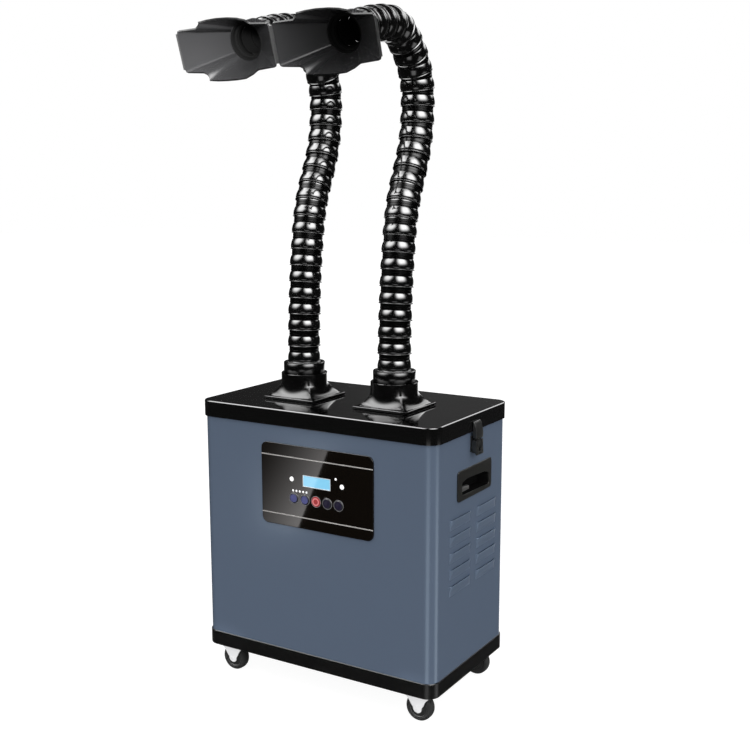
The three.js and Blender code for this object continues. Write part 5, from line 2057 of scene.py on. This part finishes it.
        way = nodes.new("ShaderNodeSeparateXYZ")
        links.new(nodes.new("ShaderNodeTexCoord").outputs["Generated"], way.inputs[0])
        bearing = maths("DEGREES", maths("ARCTAN2", way.outputs[0], maths("MULTIPLY", way.outputs[1], -1.0)))
        height = maths("DEGREES", maths("ARCSINE", way.outputs[2]))
        total = maths("ADD", self.mirrored_dark, 0.0)
        for panel in SKY_PANELS:
            off = maths("WRAP", maths("SUBTRACT", bearing, panel.bearing), 180.0, -180.0)
            if panel.pinch:
                drop = maths("MAXIMUM", maths("SUBTRACT", panel.pinch_below, height), 0.0)
                part = maths("MULTIPLY", drop, panel.pinch / 2)
                off = maths("ADD", off, part)
                wide = maths("ADD", maths("ABSOLUTE", off), maths("ABSOLUTE", part))
            else:
                wide = maths("ABSOLUTE", off)
            share = fade(wide, panel.half_width + panel.side_fade, panel.half_width - panel.side_fade)
            for start, end in ((panel.low - panel.low_fade, panel.low + panel.low_fade),
                               (panel.high + panel.high_fade, panel.high - panel.high_fade)):
                share = maths("MULTIPLY", share, fade(height, start, end))
            total = maths("MULTIPLY_ADD", share, panel.strength, total)
        lean = maths("COSINE", maths("RADIANS", maths("SUBTRACT", bearing, self.key_bearing)))
        upper = maths("MULTIPLY_ADD", lean, self.key_lean, 1.0 - self.key_lean)
        above = fade(height, -self.horizon, self.horizon)
        spread = maths("MULTIPLY_ADD", above, self.sky_level - self.ground_level, self.ground_level)
        return total, maths("MULTIPLY", upper, spread)

    def floor(self) -> None:
        """Lay a pale floor that keeps a faint shadow."""
        clear_bench()
        bpy.ops.mesh.primitive_plane_add(size=self.floor_size, location=(0, CENTRE_Y, 0))
        floor = bpy.context.active_object
        floor.name = "floor"
        made = bpy.data.materials.new("floor_pale")
        made.use_nodes = True
        shader = made.node_tree.nodes["Principled BSDF"]
        shader.inputs["Base Color"].default_value = (*[self.floor_grey] * 3, 1)
        shader.inputs["Roughness"].default_value = 1.0
        shader.inputs["Specular IOR Level"].default_value = 0.0
        shader.inputs["Emission Color"].default_value = (1, 1, 1, 1)
        shader.inputs["Emission Strength"].default_value = self.floor_glow
        floor.data.materials.append(made)
        floor.visible_glossy = False
        floor.visible_diffuse = False

    def sheen_card(self, panel: Panel) -> None:
        """Stand a graded card in front of the panel, whose slanting edge the gloss mirrors.

        The card's top and foot, as x and z, are where its mirrored edge meets the panel's top and foot.

        Args:
            panel: The panel that mirrors the card.
        """
        face, top, bottom, out = panel.face, self.card_top, self.card_foot, self.card_out
        eye = Vector((self.camera_x / MM, 2 * face - self.camera_y / MM, self.camera_z / MM))
        left = panel.x - panel.width / 2 + 0.5
        corners = []
        for x, z in ((left, top[1]), top, bottom, (left, bottom[1])):
            spot = Vector((x, face, z))
            corners.append(at(*(eye + (spot - eye) * (-out - eye.y) / (face - eye.y))))
        card = plate("sheen_card", corners, Vector()).done(None)
        made = bpy.data.materials.new("sheen_card")
        made.use_nodes = True
        nodes, links = made.node_tree.nodes, made.node_tree.links
        nodes.remove(nodes["Principled BSDF"])
        light = nodes.new("ShaderNodeEmission")
        place = nodes.new("ShaderNodeSeparateXYZ")
        links.new(nodes.new("ShaderNodeTexCoord").outputs["Object"], place.inputs[0])
        graded = nodes.new("ShaderNodeMath")
        graded.operation = "ADD"
        ends = ((place.outputs[0], corners[0].x, corners[1].x, self.card_rise_x),
                (place.outputs[2], corners[0].z, corners[3].z, self.card_rise_z))
        for socket, (value, start, end, share) in zip(graded.inputs, ends):
            low, high = sorted((start, end))
            grade = nodes.new("ShaderNodeMapRange")
            grade.inputs["From Min"].default_value, grade.inputs["From Max"].default_value = low, high
            first, last = (0.0, share) if low == start else (share, 0.0)
            grade.inputs["To Min"].default_value, grade.inputs["To Max"].default_value = first, last
            links.new(value, grade.inputs["Value"])
            links.new(grade.outputs[0], socket)
        raised = nodes.new("ShaderNodeMath")
        raised.operation = "POWER"
        raised.inputs[1].default_value = self.card_power
        links.new(graded.outputs[0], raised.inputs[0])
        bright = nodes.new("ShaderNodeMath")
        bright.operation = "MULTIPLY_ADD"
        bright.inputs[1].default_value = self.card_bright
        bright.inputs[2].default_value = self.card_dark
        links.new(raised.outputs[0], bright.inputs[0])
        links.new(bright.outputs[0], light.inputs["Strength"])
        light.inputs["Color"].default_value = (1.0, 0.97, 0.96, 1)
        links.new(light.outputs[0], nodes["Material Output"].inputs["Surface"])
        card.data.materials.append(made)
        card.visible_camera = False
        card.visible_diffuse = False
        card.visible_shadow = False

    def build(self) -> None:
        """Set up the studio."""
        self.world()
        self.floor()
        for beam in BEAMS:
            self.shine(beam)
        self.sheen_card(Panel())
        settings = bpy.context.scene.view_settings
        settings.view_transform = "Standard"
        settings.look = "None"


def main() -> None:
    """Build the extractor from the floor up."""
    logging.basicConfig(level=logging.INFO, format="%(name)s: %(message)s")
    studio = Studio()
    studio.camera()
    Cabinet().build()
    BaseTray().build()
    lid = Lid()
    lid.build()
    seat = lid.top + lid.seat
    for side in Side:
        x = side.value * lid.duct_x
        Flange().build(side, x, lid.duct_y, seat)
        lip = Hose().build(side, x, lid.duct_y, seat)
        Hood().build(side, lip)
    Panel().build()
    Grip().build()
    Latch().build()
    Caster().build()
    Inside().build()
    studio.build()


if __name__ == "__main__":
    main()
